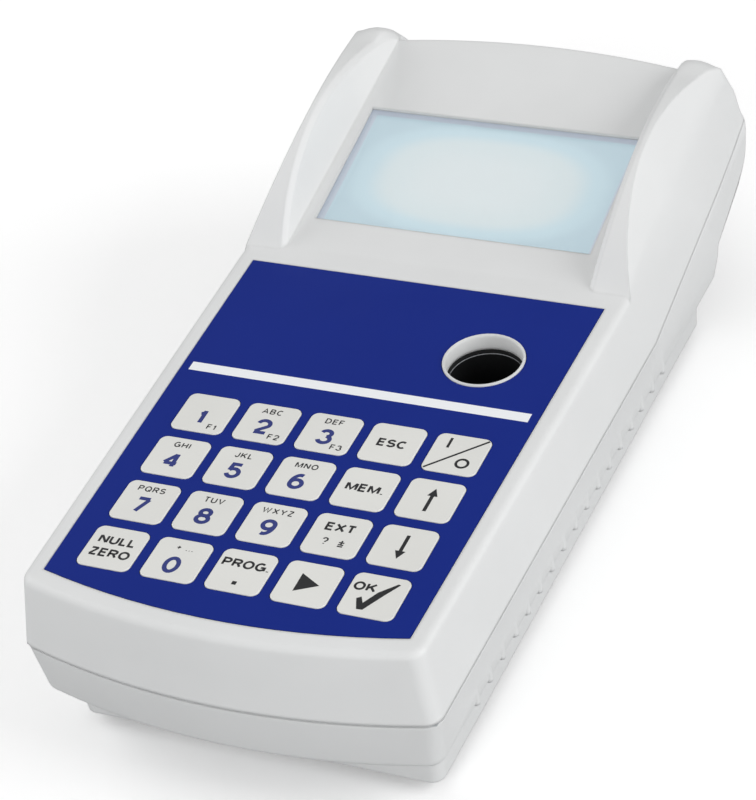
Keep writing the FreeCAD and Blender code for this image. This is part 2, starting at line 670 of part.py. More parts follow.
def bottom_hollow(body):
    """The space inside the lower shell, with the battery bay left standing in it."""
    inset = "(wall*1.6)"
    rear = "(base_rear - wall)"
    upper = plan_outline(inset, rear)
    skirt = shape_at(body, "skirt_space", upper, REAR_SPLIT)
    pocket(body, skirt, f"{REAR_SPLIT} - skirt_bottom - wall")
    half = half_at("base_rear", inset)
    tail_end = f"(body_length/2 - plan_radius + sqrt(plan_radius^2 - {half}^2) - wall*2)"
    tail = side_view(body, "tail_space", [
        (f"({rear} - wall)", f"({HEEL_TOP} + wall)"), (HEEL_END, f"({HEEL_TOP} + wall)"),
        (tail_end, f"({overhang_z(tail_end)} + wall)"), (tail_end, "body_height"),
        (f"({rear} - wall)", "body_height"),
    ])
    pocket(body, tail, f"{half}*2", midplane=True)
    base = mirrored([
        (half_at("-base_front", "base_inset + wall"), "(wall - base_front)"),
        (half_at(rear, "base_inset + wall"), rear),
    ])
    space = shape_at(body, "base_space", base, "skirt_bottom + wall*2")
    pocket(body, space, f"skirt_bottom + wall*2 - {BASE_FLOOR}")


def battery_bay(body):
    """A walled bay that opens downwards, with side grooves that guide the sliding door."""
    outer = rectangle("0", BAY_MIDDLE, f"{BAY_WIDTH} + bay_wall*2", f"{BAY_DEPTH} + bay_wall*2")
    block = shape_at(body, "bay_block", outer, f"({BASE_FLOOR} - floor_thickness/4)")
    pad(body, block, f"{BAY_CEILING} + bay_wall - {BASE_FLOOR} + floor_thickness/4")
    inner = rectangle("0", BAY_MIDDLE, BAY_WIDTH, BAY_DEPTH)
    pocket(body, shape_at(body, "bay_space", inner, BAY_CEILING), f"{BAY_CEILING} - foot_height/2")
    front = f"({BAY_FRONT} - bay_wall)"
    middle = f"(({front} - door_gap + body_length/2)/2)"
    depth = f"(body_length/2 - {front} + door_gap)"
    mouth = rectangle("0", middle, f"({DOOR_WIDTH} + door_gap*2)", depth)
    pocket(body, shape_at(body, "door_mouth", mouth, DOOR_TOP), f"{DOOR_TOP} - foot_height/2")
    groove = rectangle("0", middle, f"({DOOR_WIDTH} + door_tongue*2 + door_gap*2)", depth)
    grooves = shape_at(body, "door_grooves", groove, f"({DOOR_TOP} + door_gap)")
    pocket(body, grooves, "door_thickness - door_lip + door_gap*2")


def bottom_holes(body):
    """Screw columns, foot recesses and the two sockets in the heel."""
    columns = circles(body, "screw_columns", SCREWS, "column_radius", f"({BASE_FLOOR} - wall/2)")
    pad(body, columns, f"{REAR_SPLIT} - {BASE_FLOOR}")
    trim = side_view(body, "column_trim", above_split(SEAM_BOTTOM))
    pocket(body, trim, "body_width*2", midplane=True)
    sink = "(screw_sink + screw_head_height + foot_height)"
    holes = circles(body, "screw_holes", SCREWS, "screw_radius + screw_gap", "body_height")
    pocket(body, holes, "body_height*1.1")
    heads = circles(body, "head_holes", SCREWS, "screw_head_radius + part_gap", sink)
    pocket(body, heads, f"{sink}")
    seats = circles(body, "foot_seats", FEET, "foot_radius + part_gap", "(foot_height + foot_sink)")
    pocket(body, seats, "foot_sink*2")
    jack = new_sketch(body, "jack_hole", "XZ_Plane", ("0", "0", f"-({HEEL_END} + wall)"))
    add_circle(jack, "socket_x", "socket_height", "jack_radius + part_gap")
    pocket(body, jack, f"({HEEL_END} - base_rear + wall*3)", reverse=True)
    port = new_sketch(body, "port_hole", "XZ_Plane", ("0", "0", f"-({HEEL_END} + wall)"))
    add_outline(port, rectangle(
        "-socket_x", "socket_height", "(port_width + part_gap*2)", "(port_height + part_gap*2)"
    ))
    pocket(body, port, f"({HEEL_END} - base_rear + wall*3)", reverse=True)


def bottom_shell():
    """Lower shell: ribbed skirt, inset base with the battery bay, and a rising tail."""
    body = new_body("bottom_shell")
    bottom_form(body)
    bottom_hollow(body)
    battery_bay(body)
    bottom_holes(body)
    side_ribs(body)
    return body


def housing_seal():
    """Soft dark cord that lies in the parting line, a little in from the outside."""
    body = new_body("housing_seal")
    tall = f"{REAR_SPLIT} - {SEAM_BOTTOM} + wall"
    outer = shape_at(body, "seal_outer", plan_outline("seal_inset"), SEAM_BOTTOM)
    pad(body, outer, tall, "-side_draft")
    rear = "(body_length/2 - seal_inset)"
    rim = shape_at(body, "seal_rear", behind_arc(rear, "plan_radius", "body_width"), REAR_SPLIT)
    pocket(body, rim, tall, midplane=True)
    band = "(seal_inset + seal_width)"
    apex = f"(body_length/2 - {band})"
    radius = f"(plan_radius - {band})"
    half = half_at("body_length/2", band)
    corner = f"({apex} - {radius} + sqrt({radius}^2 - {half}^2))"
    outline = plan_outline(band, corner)
    outline[1] = (half_at(corner, band), corner, radius)
    inner = shape_at(body, "seal_inner", outline, SEAM_BOTTOM)
    pocket(body, inner, tall, "-side_draft", reverse=True)
    width = "body_width*2"
    pocket(body, side_view(body, "seal_over", above_split(SEAM_TOP)), width, midplane=True)
    pocket(body, side_view(body, "seal_under", below_split(SEAM_BOTTOM)), width, midplane=True)
    return body


def rounded(x, y, width, depth, radius):
    """A rectangle about a centre with rounded corners."""
    left, right = f"({x} - ({width})/2)", f"({x} + ({width})/2)"
    low, high = f"({y} - ({depth})/2)", f"({y} + ({depth})/2)"
    turn = f"({radius})"
    return [
        (f"({left} + {turn})", low), (f"({right} - {turn})", low, turn),
        (right, f"({low} + {turn})"), (right, f"({high} - {turn})", turn),
        (f"({right} - {turn})", high), (f"({left} + {turn})", high, turn),
        (left, f"({high} - {turn})"), (left, f"({low} + {turn})", turn),
    ]


def key_place(column, row):
    """Centre of a key, counted from the left and from the display."""
    return f"(key_pitch_x*({column - 2}))", f"-(key_first_row + key_pitch_y*{row})"


def key_windows(body, top, depth):
    """The grid of twenty windows that the keys stand in, and the hole for the collar."""
    x, y = key_place(0, 3)
    size = "(key_size + key_gap*2)"
    window = shape_at(body, "window", rounded(x, y, size, size, "key_corner + key_gap"), top)
    first = pocket(body, window, depth)
    grid = body.newObject("PartDesign::MultiTransform", "window_grid")
    steps = []
    for role, pitch, count in (("X_Axis", "key_pitch_x", 5), ("Y_Axis", "key_pitch_y", 4)):
        step = body.newObject("PartDesign::LinearPattern", f"along_{role[0].lower()}")
        step.Direction = (plane(body, role), [""])
        step.Occurrences = count
        step.setExpression("Length", bound(f"{pitch}*{count - 1}"))
        steps.append(step)
    grid.Originals = [first]
    grid.Transformations = steps
    body.Tip = grid
    finish_feature(grid)
    hole = circles(body, "collar_hole", WELL, "collar_radius + overlay_gap", top)
    pocket(body, hole, depth)


def keypad_layers():
    """Printed overlay, spacer and circuit sheet, laid in the recess of the deck."""
    overlay = new_body("keypad_overlay")
    low = "(keypad_height - overlay_thickness)"
    pad(overlay, shape_at(overlay, "overlay", overlay_outline("0"), low), "overlay_thickness")
    key_windows(overlay, "keypad_height", "overlay_thickness")
    spacer = new_body("keypad_spacer")
    pad(spacer, shape_at(spacer, "spacer", overlay_outline("0"), CIRCUIT_TOP), "spacer_thickness")
    key_windows(spacer, low, "spacer_thickness")
    circuit = new_body("keypad_circuit")
    pad(circuit, shape_at(circuit, "circuit", overlay_outline("0"), KEYPAD_FLOOR), "circuit_thickness")
    hole = circles(circuit, "collar_hole", WELL, "collar_radius + overlay_gap", CIRCUIT_TOP)
    pocket(circuit, hole, "circuit_thickness")


def key(label, column, row):
    """One key cap: a rounded square that stands on its snap dome."""
    body = new_body(label)
    x, y = key_place(column, row)
    low = f"({CIRCUIT_TOP} + dome_height)"
    cap = shape_at(body, "cap", rounded(x, y, "key_size", "key_size", "key_corner"), low)
    pad(body, cap, f"keypad_height + key_proud - {low}")
    top = value("keypad_height + key_proud")

    def rim(middle, edge):
        return edge.BoundBox.ZMin > top - 0.01

    round_edges(body, "key_edge", rim, "cap_edge", "Chamfer")


KEYS = [
    ["key_1", "key_2", "key_3", "key_escape", "key_power"],
    ["key_4", "key_5", "key_6", "key_memory", "key_up"],
    ["key_7", "key_8", "key_9", "key_sign", "key_down"],
    ["key_zero_set", "key_0", "key_point", "key_method", "key_accept"],
]


def group(label, solids):
    """Like pieces that share one name."""
    item = doc.addObject("Part::Feature", label)
    item.Label = label
    item.Shape = Part.makeCompound(solids)
    return item


def cylinder(radius, length, x, y, z, direction=(0, 0, 1)):
    """A cylinder from formulas, standing on its start point."""
    start = FreeCAD.Vector(value(x), value(y), value(z))
    return Part.makeCylinder(value(radius), value(length), start, FreeCAD.Vector(*direction))


def cone(foot, tip, length, x, y, z, direction=(0, 0, 1)):
    """A blunt cone from formulas, standing on its start point."""
    start = FreeCAD.Vector(value(x), value(y), value(z))
    ends = (value(foot), value(tip), value(length))
    return Part.makeCone(*ends, start, FreeCAD.Vector(*direction))


def box(width, depth, height, x, y, z):
    """A box from formulas, centred in plan on its foot point."""
    w, d = value(width), value(depth)
    corner = FreeCAD.Vector(value(x) - w / 2, value(y) - d / 2, value(z))
    return Part.makeBox(w, d, value(height), corner)


def snap_domes():
    """Sprung metal domes under the keys."""
    solids = []
    for row in range(4):
        for column in range(5):
            x, y = key_place(column, row)
            solids.append(cone("dome_radius", "dome_radius*0.6", "dome_height", x, y, CIRCUIT_TOP))
    group("snap_domes", solids)


def screw(radius, length, head_radius, head_height, x, y, z, direction=(0, 0, 1)):
    """A screw whose head starts at a point, with a slot across the head."""
    axis = FreeCAD.Vector(*direction)
    head = cylinder(head_radius, head_height, x, y, z, direction)
    start = FreeCAD.Vector(value(x), value(y), value(z))
    shank = Part.makeCylinder(value(radius), value(length) + value(head_height), start, axis)
    wide, deep = value(head_radius) * 2, value(head_height) * 0.5
    slot = Part.makeBox(wide, wide * 0.15, deep, FreeCAD.Vector(-wide / 2, -wide * 0.075, 0))
    slot.Placement = FreeCAD.Placement(start, FreeCAD.Rotation(FreeCAD.Vector(0, 0, 1), axis)).multiply(
        slot.Placement
    )
    return head.fuse(shank).cut(slot).removeSplitter()


def housing_screws():
    """Four long screws that draw the shells together from below."""
    group("housing_screws", [
        screw("screw_radius", "screw_length", "screw_head_radius", "screw_head_height", x, y,
              "(foot_height + screw_sink)")
        for x, y in SCREWS
    ])


def rubber_feet():
    """Four soft feet set into the base."""
    solids = []
    for x, y in FEET:
        foot = cylinder("foot_radius", "foot_height + foot_sink", x, y, "0")
        rim = [edge for edge in foot.Edges if edge.BoundBox.ZMax < 0.01]
        solids.append(foot.makeChamfer(value("foot_height") * 0.3, rim))
    group("rubber_feet", solids)


def tilted(solid, x, along, depth):
    """Turns a solid to the tilt of the display panel and moves it to a place on it."""
    y = value(f"panel_start + ({along})*cos(display_tilt) + ({depth})*sin(display_tilt)")
    z = value(f"keypad_height + ({along})*sin(display_tilt) - ({depth})*cos(display_tilt)")
    turn = FreeCAD.Rotation(FreeCAD.Vector(1, 0, 0), value("display_tilt"))
    move = FreeCAD.Placement(FreeCAD.Vector(value(x), y, z), turn)
    solid.Placement = move.multiply(solid.Placement)
    return solid


def display_layer(label, width, depth, thickness, below):
    """A flat layer parallel to the display panel, behind the window."""
    body = new_body(label)
    outline = rectangle("0", WINDOW_MIDDLE, width, depth)
    layer = shape_at(body, "layer", outline, panel_frame(f"{below} + {thickness}"), "display_tilt")
    pad(body, layer, thickness)
    return body


def display():
    """Window, glass, backlight and board, screwed to the posts of the upper shell."""
    width = "(window_length + window_ledge*2)"
    depth = "(window_depth + window_ledge*2)"
    display_layer("display_window", width, depth, "window_thickness", "window_lip")
    display_layer("lcd_glass", width, depth, "glass_thickness", GLASS_DEPTH)
    display_layer("backlight_panel", width, depth, "backlight_thickness", BACKLIGHT_DEPTH)
    board = display_layer(
        "display_board", "display_board_length", "display_board_depth", "board_thickness",
        DISPLAY_BOARD_DEPTH,
    )
    start = panel_frame(DISPLAY_BOARD_DEPTH)
    holes = circles(board, "holes", DISPLAY_POSTS, "small_screw_radius + screw_gap", start, "display_tilt")
    pocket(board, holes, "board_thickness*2")
    solids = []
    for x, along in DISPLAY_POSTS:
        fixing = screw("small_screw_radius", "small_screw_length", "small_head_radius",
                       "small_head_height", "0", "0", "0")
        under = f"({DISPLAY_BOARD_DEPTH} + board_thickness + small_head_height)"
        solids.append(tilted(fixing, x, along, under))
    group("display_screws", solids)


def main_board():
    """Main circuit board under the deck, with its components and screws."""
    body = new_body("main_board")
    low = "(main_board_top - board_thickness)"
    outline = rectangle("0", MAIN_BOARD_MIDDLE, "main_board_length", "main_board_depth")
    pad(body, shape_at(body, "board", outline, low), "board_thickness")
    holes = circles(body, "holes", BOARD_POSTS, "small_screw_radius + screw_gap", "main_board_top")
    pocket(body, holes, "board_thickness*2")
    chip = f"({low} - chip_height)"
    group("board_components", [
        box("chip_size", "chip_size", "chip_height", "0", MAIN_BOARD_MIDDLE, chip),
        box("driver_width", "driver_depth", "chip_height", "-driver_x", MAIN_BOARD_MIDDLE, chip),
        box("driver_width", "driver_depth", "chip_height", "driver_x", MAIN_BOARD_MIDDLE, chip),
        box("plug_width", "plug_depth", "plug_height", "ribbon_x", RIBBON_FRONT, f"({low} - plug_height)"),
    ])
    group("board_screws", [
        screw("small_screw_radius", "small_screw_length", "small_head_radius", "small_head_height",
              x, y, f"({low} - small_head_height)")
        for x, y in BOARD_POSTS
    ])


def display_ribbon():
    """Flat cable from the main board to the display board."""
    body = new_body("display_ribbon")
    foot = "(main_board_top - board_thickness - plug_height)"
    low = f"({foot} - ribbon_drop)"
    under = f"({DISPLAY_BOARD_DEPTH} + board_thickness)"
    along = "(display_board_depth/4)"
    end_y = f"(panel_start + {along}*cos(display_tilt) + {under}*sin(display_tilt))"
    end_z = f"(keypad_height + {along}*sin(display_tilt) - {under}*cos(display_tilt))"
    thin = "ribbon_thickness"
    start = RIBBON_FRONT
    side = new_sketch(body, "path", "YZ_Plane", ("0", "0", "ribbon_x"))
    add_outline(side, [
        (f"({start} - {thin})", low), (f"{end_y}", low), (f"{end_y}", end_z),
        (f"({end_y} - {thin})", f"({end_z} - {thin}*sin(display_tilt))"),
        (f"({end_y} - {thin})", f"({low} + {thin})"), (start, f"({low} + {thin})"),
        (start, foot), (f"({start} - {thin})", foot),
    ])
    pad(body, side, "ribbon_width", midplane=True)


def tube_holder():
    """Dark well for the test tube, with a beam path through it from front to rear."""
    body = new_body("tube_holder")
    top = f"({DECK_CEILING} - seal_thickness)"
    pad(body, circles(body, "foot", WELL, "holder_base", BASE_FLOOR), "well_floor")
    pad(body, circles(body, "barrel", WELL, "holder_radius", BASE_FLOOR), f"{top} - {BASE_FLOOR}")
    snout = new_sketch(body, "snout", "XZ_Plane", ("0", "0", "well_y"))
    add_circle(snout, "well_x", "beam_height", "snout_radius")
    pad(body, snout, "snout_length")
    seat = new_sketch(body, "seat", "XZ_Plane", ("0", "0", "well_y"))
    add_circle(seat, "well_x", "beam_height", "detector_radius + wall")
    pad(body, seat, DETECTOR_SEAT, reverse=True)
    bore = circles(body, "bore", WELL, "tube_bore", top)
    pocket(body, bore, f"{top} - {BASE_FLOOR} - well_floor")
    beam = new_sketch(body, "beam", "XZ_Plane", ("0", "0", "well_y"))
    add_circle(beam, "well_x", "beam_height", "beam_radius")
    pocket(body, beam, "snout_length*3", midplane=True)
    can = new_sketch(body, "can", "XZ_Plane", ("0", "0", f"(well_y - {DETECTOR_SEAT})"))
    add_circle(can, "well_x", "beam_height", "detector_radius")
    pocket(body, can, "detector_height", reverse=True)
    ring = new_body("light_seal")
    flat = circles(ring, "ring", WELL, "holder_radius", top)
    add_circle(flat, "well_x", "-well_y", "seal_bore")
    pad(ring, flat, "seal_thickness")


def across(body, name, spots, radius, y):
    """Circles in an upright plane across the body, at a place along it."""
    sketch = new_sketch(body, name, "XZ_Plane", ("0", "0", f"-({y})"))
    for x, z in spots:
        add_circle(sketch, x, z, radius)
    return sketch


def optics_bracket():
    """Upright plate with a foot that carries the wheel axle, the motor and the lamp tube."""
    body = new_body("optics_bracket")
    left = f"({MOTOR_X} - motor_radius - wall)"
    right = "(well_x + lamp_tube_radius + wall)"
    middle, width = f"(({left} + {right})/2)", f"({right} - {left})"
    height = f"(beam_height + motor_radius + wall - {BASE_FLOOR})"
    upright = new_sketch(body, "upright", "XZ_Plane", ("0", "0", f"-{BRACKET_FRONT}"))
    add_outline(upright, rectangle(middle, f"({BASE_FLOOR} + {height}/2)", width, height))
    pad(body, upright, "bracket_thickness")
    foot = rectangle(
        middle, f"({BRACKET_BACK} - bracket_foot/2 + bracket_thickness/2)", width,
        "bracket_foot + bracket_thickness",
    )
    pad(body, shape_at(body, "foot", foot, BASE_FLOOR), "bracket_thickness")
    depth = "bracket_thickness*3"
    start = f"({BRACKET_BACK} - bracket_thickness)"
    pocket(body, across(body, "axle_hole", [(WHEEL_X, "beam_height")], "axle_radius", start), depth)
    hole = across(body, "shaft_hole", [(MOTOR_X, "beam_height")], "shaft_radius*2", start)
    pocket(body, hole, depth)
    hole = across(body, "light_hole", [("well_x", "beam_height")], "beam_radius*1.4", start)
    pocket(body, hole, depth)


def lamp():
    """Lamp tube with its lens, and the lamp that plugs into the far end."""
    back = (0, -1, 0)
    tube = cylinder("lamp_tube_radius", "lamp_tube_length", "well_x", BRACKET_BACK, "beam_height", back)
    bore = cylinder("lamp_tube_bore", "lamp_tube_length", "well_x", BRACKET_BACK, "beam_height", back)
    group("lamp_housing", [tube.cut(bore)])
    lens_y = f"({BRACKET_BACK} - wall)"
    lens = new_body("collimating_lens")
    curve = new_sketch(lens, "lens_section", "XY_Plane", ("well_x", lens_y, "beam_height"))
    edge = "(lens_thickness*0.3)"
    radius = f"((lamp_tube_bore^2 + (lens_thickness - {edge})^2)/(2*(lens_thickness - {edge})))"
    add_outline(curve, [
        ("0", "-lens_thickness"), ("lamp_tube_bore", "-lens_thickness"),
        ("lamp_tube_bore", f"-(lens_thickness - {edge})", radius), ("0", "0"),
    ])
    turn = lens.newObject("PartDesign::Revolution", "lens_turn")
    turn.Profile = curve
    turn.ReferenceAxis = (curve, ["V_Axis"])
    turn.Angle = 360
    finish_feature(turn)
    end = f"({BRACKET_BACK} - lamp_tube_length)"
    base = cylinder("lamp_tube_bore", "lamp_base_length", "well_x", f"({end} + lamp_base_length - wall)",
                    "beam_height", back)
    group("lamp_base", [base])
    tip = f"({end} + lamp_base_length - wall)"
    glass = cylinder("lamp_radius", "lamp_length - lamp_radius", "well_x", tip, "beam_height", (0, 1, 0))
    dome = Part.makeSphere(value("lamp_radius"), FreeCAD.Vector(
        value("well_x"), value(f"{tip} + lamp_length - lamp_radius"), value("beam_height")
    ))
    group("lamp_bulb", [glass.fuse(dome).removeSplitter()])


def detector():
    """Light sensor in the rear of the well, on its own small board."""
    seat = f"(-well_y + {DETECTOR_SEAT})"
    can = cylinder("detector_radius - part_gap", "detector_height", "well_x", seat, "beam_height", (0, -1, 0))
    group("photodiode", [can])
    board = box("detector_side", "board_thickness", "detector_side", "well_x",
                f"({seat} + board_thickness/2)", "(beam_height - detector_side/2)")
    group("detector_board", [board])


def gear(teeth, thickness, x, y, turn=0.0):
    """A spur gear that lies across the body, with blunt teeth and room between them."""
    module = value("tooth_pitch")
    count = int(value(teeth))
    pitch = count * module / 2
    root, tip = pitch - 1.2 * module, pitch + 0.9 * module
    step = 2 * math.pi / count
    share = value("tooth_share")
    points = []
    for number in range(count):
        for reach, part in ((root, -1.45), (tip, -0.55), (tip, 0.55), (root, 1.45)):
            angle = turn + step * (number + share * part / 2)
            points.append(FreeCAD.Vector(
                value(x) + reach * math.cos(angle), value(y), value("beam_height") + reach * math.sin(angle)
            ))
    face = Part.Face(Part.makePolygon(points + points[:1]))
    return face.extrude(FreeCAD.Vector(0, value(thickness), 0))


def filter_wheel():
    """Wheel with seven colour filters, its axle and clip, and the motor that turns it."""
    wheel = gear("wheel_teeth", "wheel_thickness", WHEEL_X, WHEEL_BACK)
    boss = cylinder("hub_radius", "wheel_thickness + wheel_gap*0.9", WHEEL_X,
                    f"({WHEEL_BACK} - wheel_gap*0.9)", "beam_height", (0, 1, 0))
    wheel = wheel.fuse(boss)
    cuts = [cylinder("axle_radius + axle_gap", "wheel_thickness*3", WHEEL_X,
                     f"({WHEEL_BACK} - wheel_thickness)", "beam_height", (0, 1, 0))]
    filters = []
    count = int(value("filter_count"))
    for number in range(count):
        angle = 2 * math.pi * number / count
        x = f"({WHEEL_X} + filter_circle*{math.cos(angle)})"
        z = f"(beam_height + filter_circle*{math.sin(angle)})"
        cuts.append(cylinder("filter_radius", "wheel_thickness*3", x,
                             f"({WHEEL_BACK} - wheel_thickness)", z, (0, 1, 0)))
        start = f"({WHEEL_BACK} + (wheel_thickness - filter_thickness)/2)"
        filters.append(cylinder("filter_radius", "filter_thickness", x, start, z, (0, 1, 0)))
    group("filter_wheel", [wheel.cut(cuts).removeSplitter()])
    group("colour_filters", filters)
    length = f"({WHEEL_BACK} + wheel_thickness + wheel_gap + clip_thickness - {BRACKET_BACK})"
    axle = cylinder("axle_radius", length, WHEEL_X, BRACKET_BACK, "beam_height", (0, 1, 0))
    group("wheel_axle", [axle])
    clip_y = f"({WHEEL_BACK} + wheel_thickness + part_gap)"
    clip = cylinder("clip_radius", "clip_thickness", WHEEL_X, clip_y, "beam_height", (0, 1, 0))
    hole = cylinder("axle_radius", "clip_thickness", WHEEL_X, clip_y, "beam_height", (0, 1, 0))
    group("axle_clip", [clip.cut(hole)])


def wheel_drive():
    """Small stepping motor whose pinion meshes with the rim of the wheel."""
    back = (0, -1, 0)
    can = cylinder("motor_radius", "motor_length", MOTOR_X, BRACKET_BACK, "beam_height", back)
    bore = cylinder("shaft_radius + axle_gap", "motor_length/2", MOTOR_X, BRACKET_BACK, "beam_height", back)
    group("wheel_motor", [can.cut(bore)])
    inside = "(motor_length/2 - part_gap)"
    pinion_back = f"({WHEEL_BACK} - (pinion_thickness - wheel_thickness)/2)"
    end = f"({pinion_back} + pinion_thickness)"
    shaft = cylinder("shaft_radius", f"({end} - {BRACKET_BACK} + {inside})", MOTOR_X, end,
                     "beam_height", back)
    group("motor_shaft", [shaft])
    pinion = gear("pinion_teeth", "pinion_thickness", MOTOR_X, pinion_back, math.pi / value("pinion_teeth"))
    hole = cylinder("shaft_radius", "pinion_thickness", MOTOR_X, pinion_back, "beam_height", (0, 1, 0))
    group("motor_pinion", [pinion.cut(hole)])


def batteries():
    """Four round cells side by side, and the contact at each end of each cell."""
    cells, contacts = [], []
    height = f"({DOOR_TOP} + cell_gap + cell_radius)"
    reach = "(contact_thickness + contact_reach)"
    near, far = f"({BAY_FRONT} + {reach} + cell_gap/2)", f"({BAY_FRONT} + {BAY_DEPTH} - {reach} - cell_gap/2)"
    for number in range(4):
        x = f"(cell_pitch*{number - 1.5})"
        way, start = ((0, 1, 0), near) if number % 2 else ((0, -1, 0), far)
        cell = cylinder("cell_radius", "cell_length", x, start, height, way)
        nub_start = f"({start} + cell_length)" if number % 2 else f"({start} - cell_length)"
        cells.append(cell.fuse(cylinder("cell_nub_radius", "cell_nub", x, nub_start, height, way)))
        foot = f"({height} - contact_width/2)"
        for y, spring_y, side in (
            (f"({BAY_FRONT} + contact_thickness/2)", f"({BAY_FRONT} + contact_thickness)", (0, 1, 0)),
            (f"({BAY_FRONT} + {BAY_DEPTH} - contact_thickness/2)",
             f"({BAY_FRONT} + {BAY_DEPTH} - contact_thickness)", (0, -1, 0)),
        ):
            leaf = box("contact_width", "contact_thickness", "contact_width", x, y, foot)
            spring = cone("contact_width*0.4", "contact_width*0.25", "contact_reach", x, spring_y, height, side)
            contacts.append(leaf.fuse(spring))
    group("batteries", cells)
    group("battery_contacts", contacts)


def battery_door():
    """Flat door that slides out to the rear, held by a tongue along each side."""
    body = new_body("battery_door")
    front = f"({BAY_FRONT} - bay_wall)"
    middle, depth = f"(({front} + base_rear)/2)", f"(base_rear - {front})"
    plate = rectangle("0", middle, DOOR_WIDTH, depth)
    pad(body, shape_at(body, "plate", plate, "foot_height"), "door_thickness")
    wide = rectangle("0", middle, f"({DOOR_WIDTH} + door_tongue*2)", depth)
    tongue = shape_at(body, "tongues", wide, "(foot_height + door_lip + door_gap)")
    pad(body, tongue, "door_thickness - door_lip - door_gap")
    for number in range(5):
        y = f"(base_rear - wall*{number + 2}*0.9)"
        sketch = shape_at(body, f"grip_{number}", rectangle("0", y, "cell_length/2", "wall*0.4"), "foot_height")
        pocket(body, sketch, "door_lip/2", reverse=True)


def sockets():
    """Power socket and data port in the upright heel of the base."""
    front = (0, -1, 0)
    jack = cylinder("jack_radius", "jack_length", "socket_x", "base_rear", "socket_height", front)
    bore = cylinder("jack_bore", "jack_length - wall", "socket_x", "base_rear", "socket_height", front)
    pin = cylinder("jack_pin", "jack_length - wall*0.6", "socket_x", "(base_rear - wall*0.6)", "socket_height", front)
    group("power_socket", [jack.cut(bore).fuse(pin).removeSplitter()])
    low = "(socket_height - port_height/2)"
    y = "(base_rear - port_length/2)"
    shell = box("port_width", "port_length", "port_height", "-socket_x", y, low)
    thin = "port_height/8"
    mouth = box(f"port_width - {thin}*2", "port_length", f"port_height - {thin}*2", "-socket_x",
                f"({y} + {thin}*2)", f"({low} + {thin})")
    tongue = box("port_width*0.6", "port_length - wall/2", f"{thin}*2", "-socket_x",
                 "(base_rear - wall/2 - (port_length - wall/2)/2)", f"(socket_height - {thin})")
    group("data_port", [shell.cut(mouth).fuse(tongue).removeSplitter()])


top_shell()
bottom_shell()
housing_seal()
keypad_layers()
snap_domes()
for row, names in enumerate(KEYS):
    for column, label in enumerate(names):
        key(label, column, row)
display()
main_board()
display_ribbon()
tube_holder()
optics_bracket()
lamp()
detector()
filter_wheel()
wheel_drive()
batteries()
battery_door()
sockets()
housing_screws()
rubber_feet()
doc.recompute()

failed = [item.Name for item in doc.Objects if {"Invalid", "Error"} & set(item.State)]
pieces = [item for item in doc.Objects if item.TypeId in ("PartDesign::Body", "Part::Feature")]
failed += [item.Label for item in pieces if item.Shape.isNull() or not item.Shape.isValid()]
if failed:
    raise RuntimeError(f"not sound: {failed}")
os.makedirs("parts", exist_ok=True)
for item in pieces:
    item.Shape.exportStep(f"parts/{item.Label}.step")
print(len(pieces), "pieces written")
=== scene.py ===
import math

import bmesh
import bpy
from mathutils import Matrix, Vector


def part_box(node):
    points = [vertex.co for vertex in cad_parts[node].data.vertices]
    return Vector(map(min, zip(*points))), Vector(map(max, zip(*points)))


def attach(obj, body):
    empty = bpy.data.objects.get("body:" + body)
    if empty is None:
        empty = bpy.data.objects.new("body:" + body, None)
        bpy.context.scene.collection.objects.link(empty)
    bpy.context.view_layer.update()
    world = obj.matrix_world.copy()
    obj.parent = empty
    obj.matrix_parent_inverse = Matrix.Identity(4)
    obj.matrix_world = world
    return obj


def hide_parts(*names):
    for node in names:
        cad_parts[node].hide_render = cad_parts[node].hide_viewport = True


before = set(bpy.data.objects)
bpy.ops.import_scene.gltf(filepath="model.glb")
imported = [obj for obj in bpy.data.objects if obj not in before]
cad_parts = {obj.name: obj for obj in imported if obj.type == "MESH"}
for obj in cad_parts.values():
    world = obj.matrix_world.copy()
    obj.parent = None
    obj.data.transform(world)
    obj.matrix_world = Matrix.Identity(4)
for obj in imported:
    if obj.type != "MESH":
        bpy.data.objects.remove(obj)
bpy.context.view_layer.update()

# Lower shell: injection moulded ABS with a fine sparked texture. It carries the ribbed skirt,
# the battery bay and the inset base. A merged copy of the solid is shaded smooth, so that the
# rounded edges catch the light as the moulded ones do.


def linear(code):
    """Linear colour of an sRGB hex value."""
    parts = [int(code[i:i + 2], 16) / 255 for i in (1, 3, 5)]
    return [p / 12.92 if p <= 0.04045 else ((p + 0.055) / 1.055) ** 2.4 for p in parts] + [1.0]


def add(tree, kind, settings=(), inputs=()):
    """Adds one node, with its settings, and its inputs as values or as sockets to link."""
    made = tree.nodes.new(kind)
    for key, content in dict(settings).items():
        setattr(made, key, content)
    for key, content in dict(inputs).items():
        if isinstance(content, bpy.types.NodeSocket):
            tree.links.new(content, made.inputs[key])
        else:
            made.inputs[key].default_value = content
    return made


def start_material(name, roughness, ior=1.5):
    """A new material with its tree, its shader and its object coordinates in metres."""
    material = bpy.data.materials.new(name)
    material.use_nodes = True
    tree = material.node_tree
    shader = tree.nodes["Principled BSDF"]
    shader.inputs["Roughness"].default_value = roughness
    shader.inputs["IOR"].default_value = ior
    place = add(tree, "ShaderNodeTexCoord").outputs["Object"]
    return material, tree, shader, place


TONE_WIDTH = 0.036


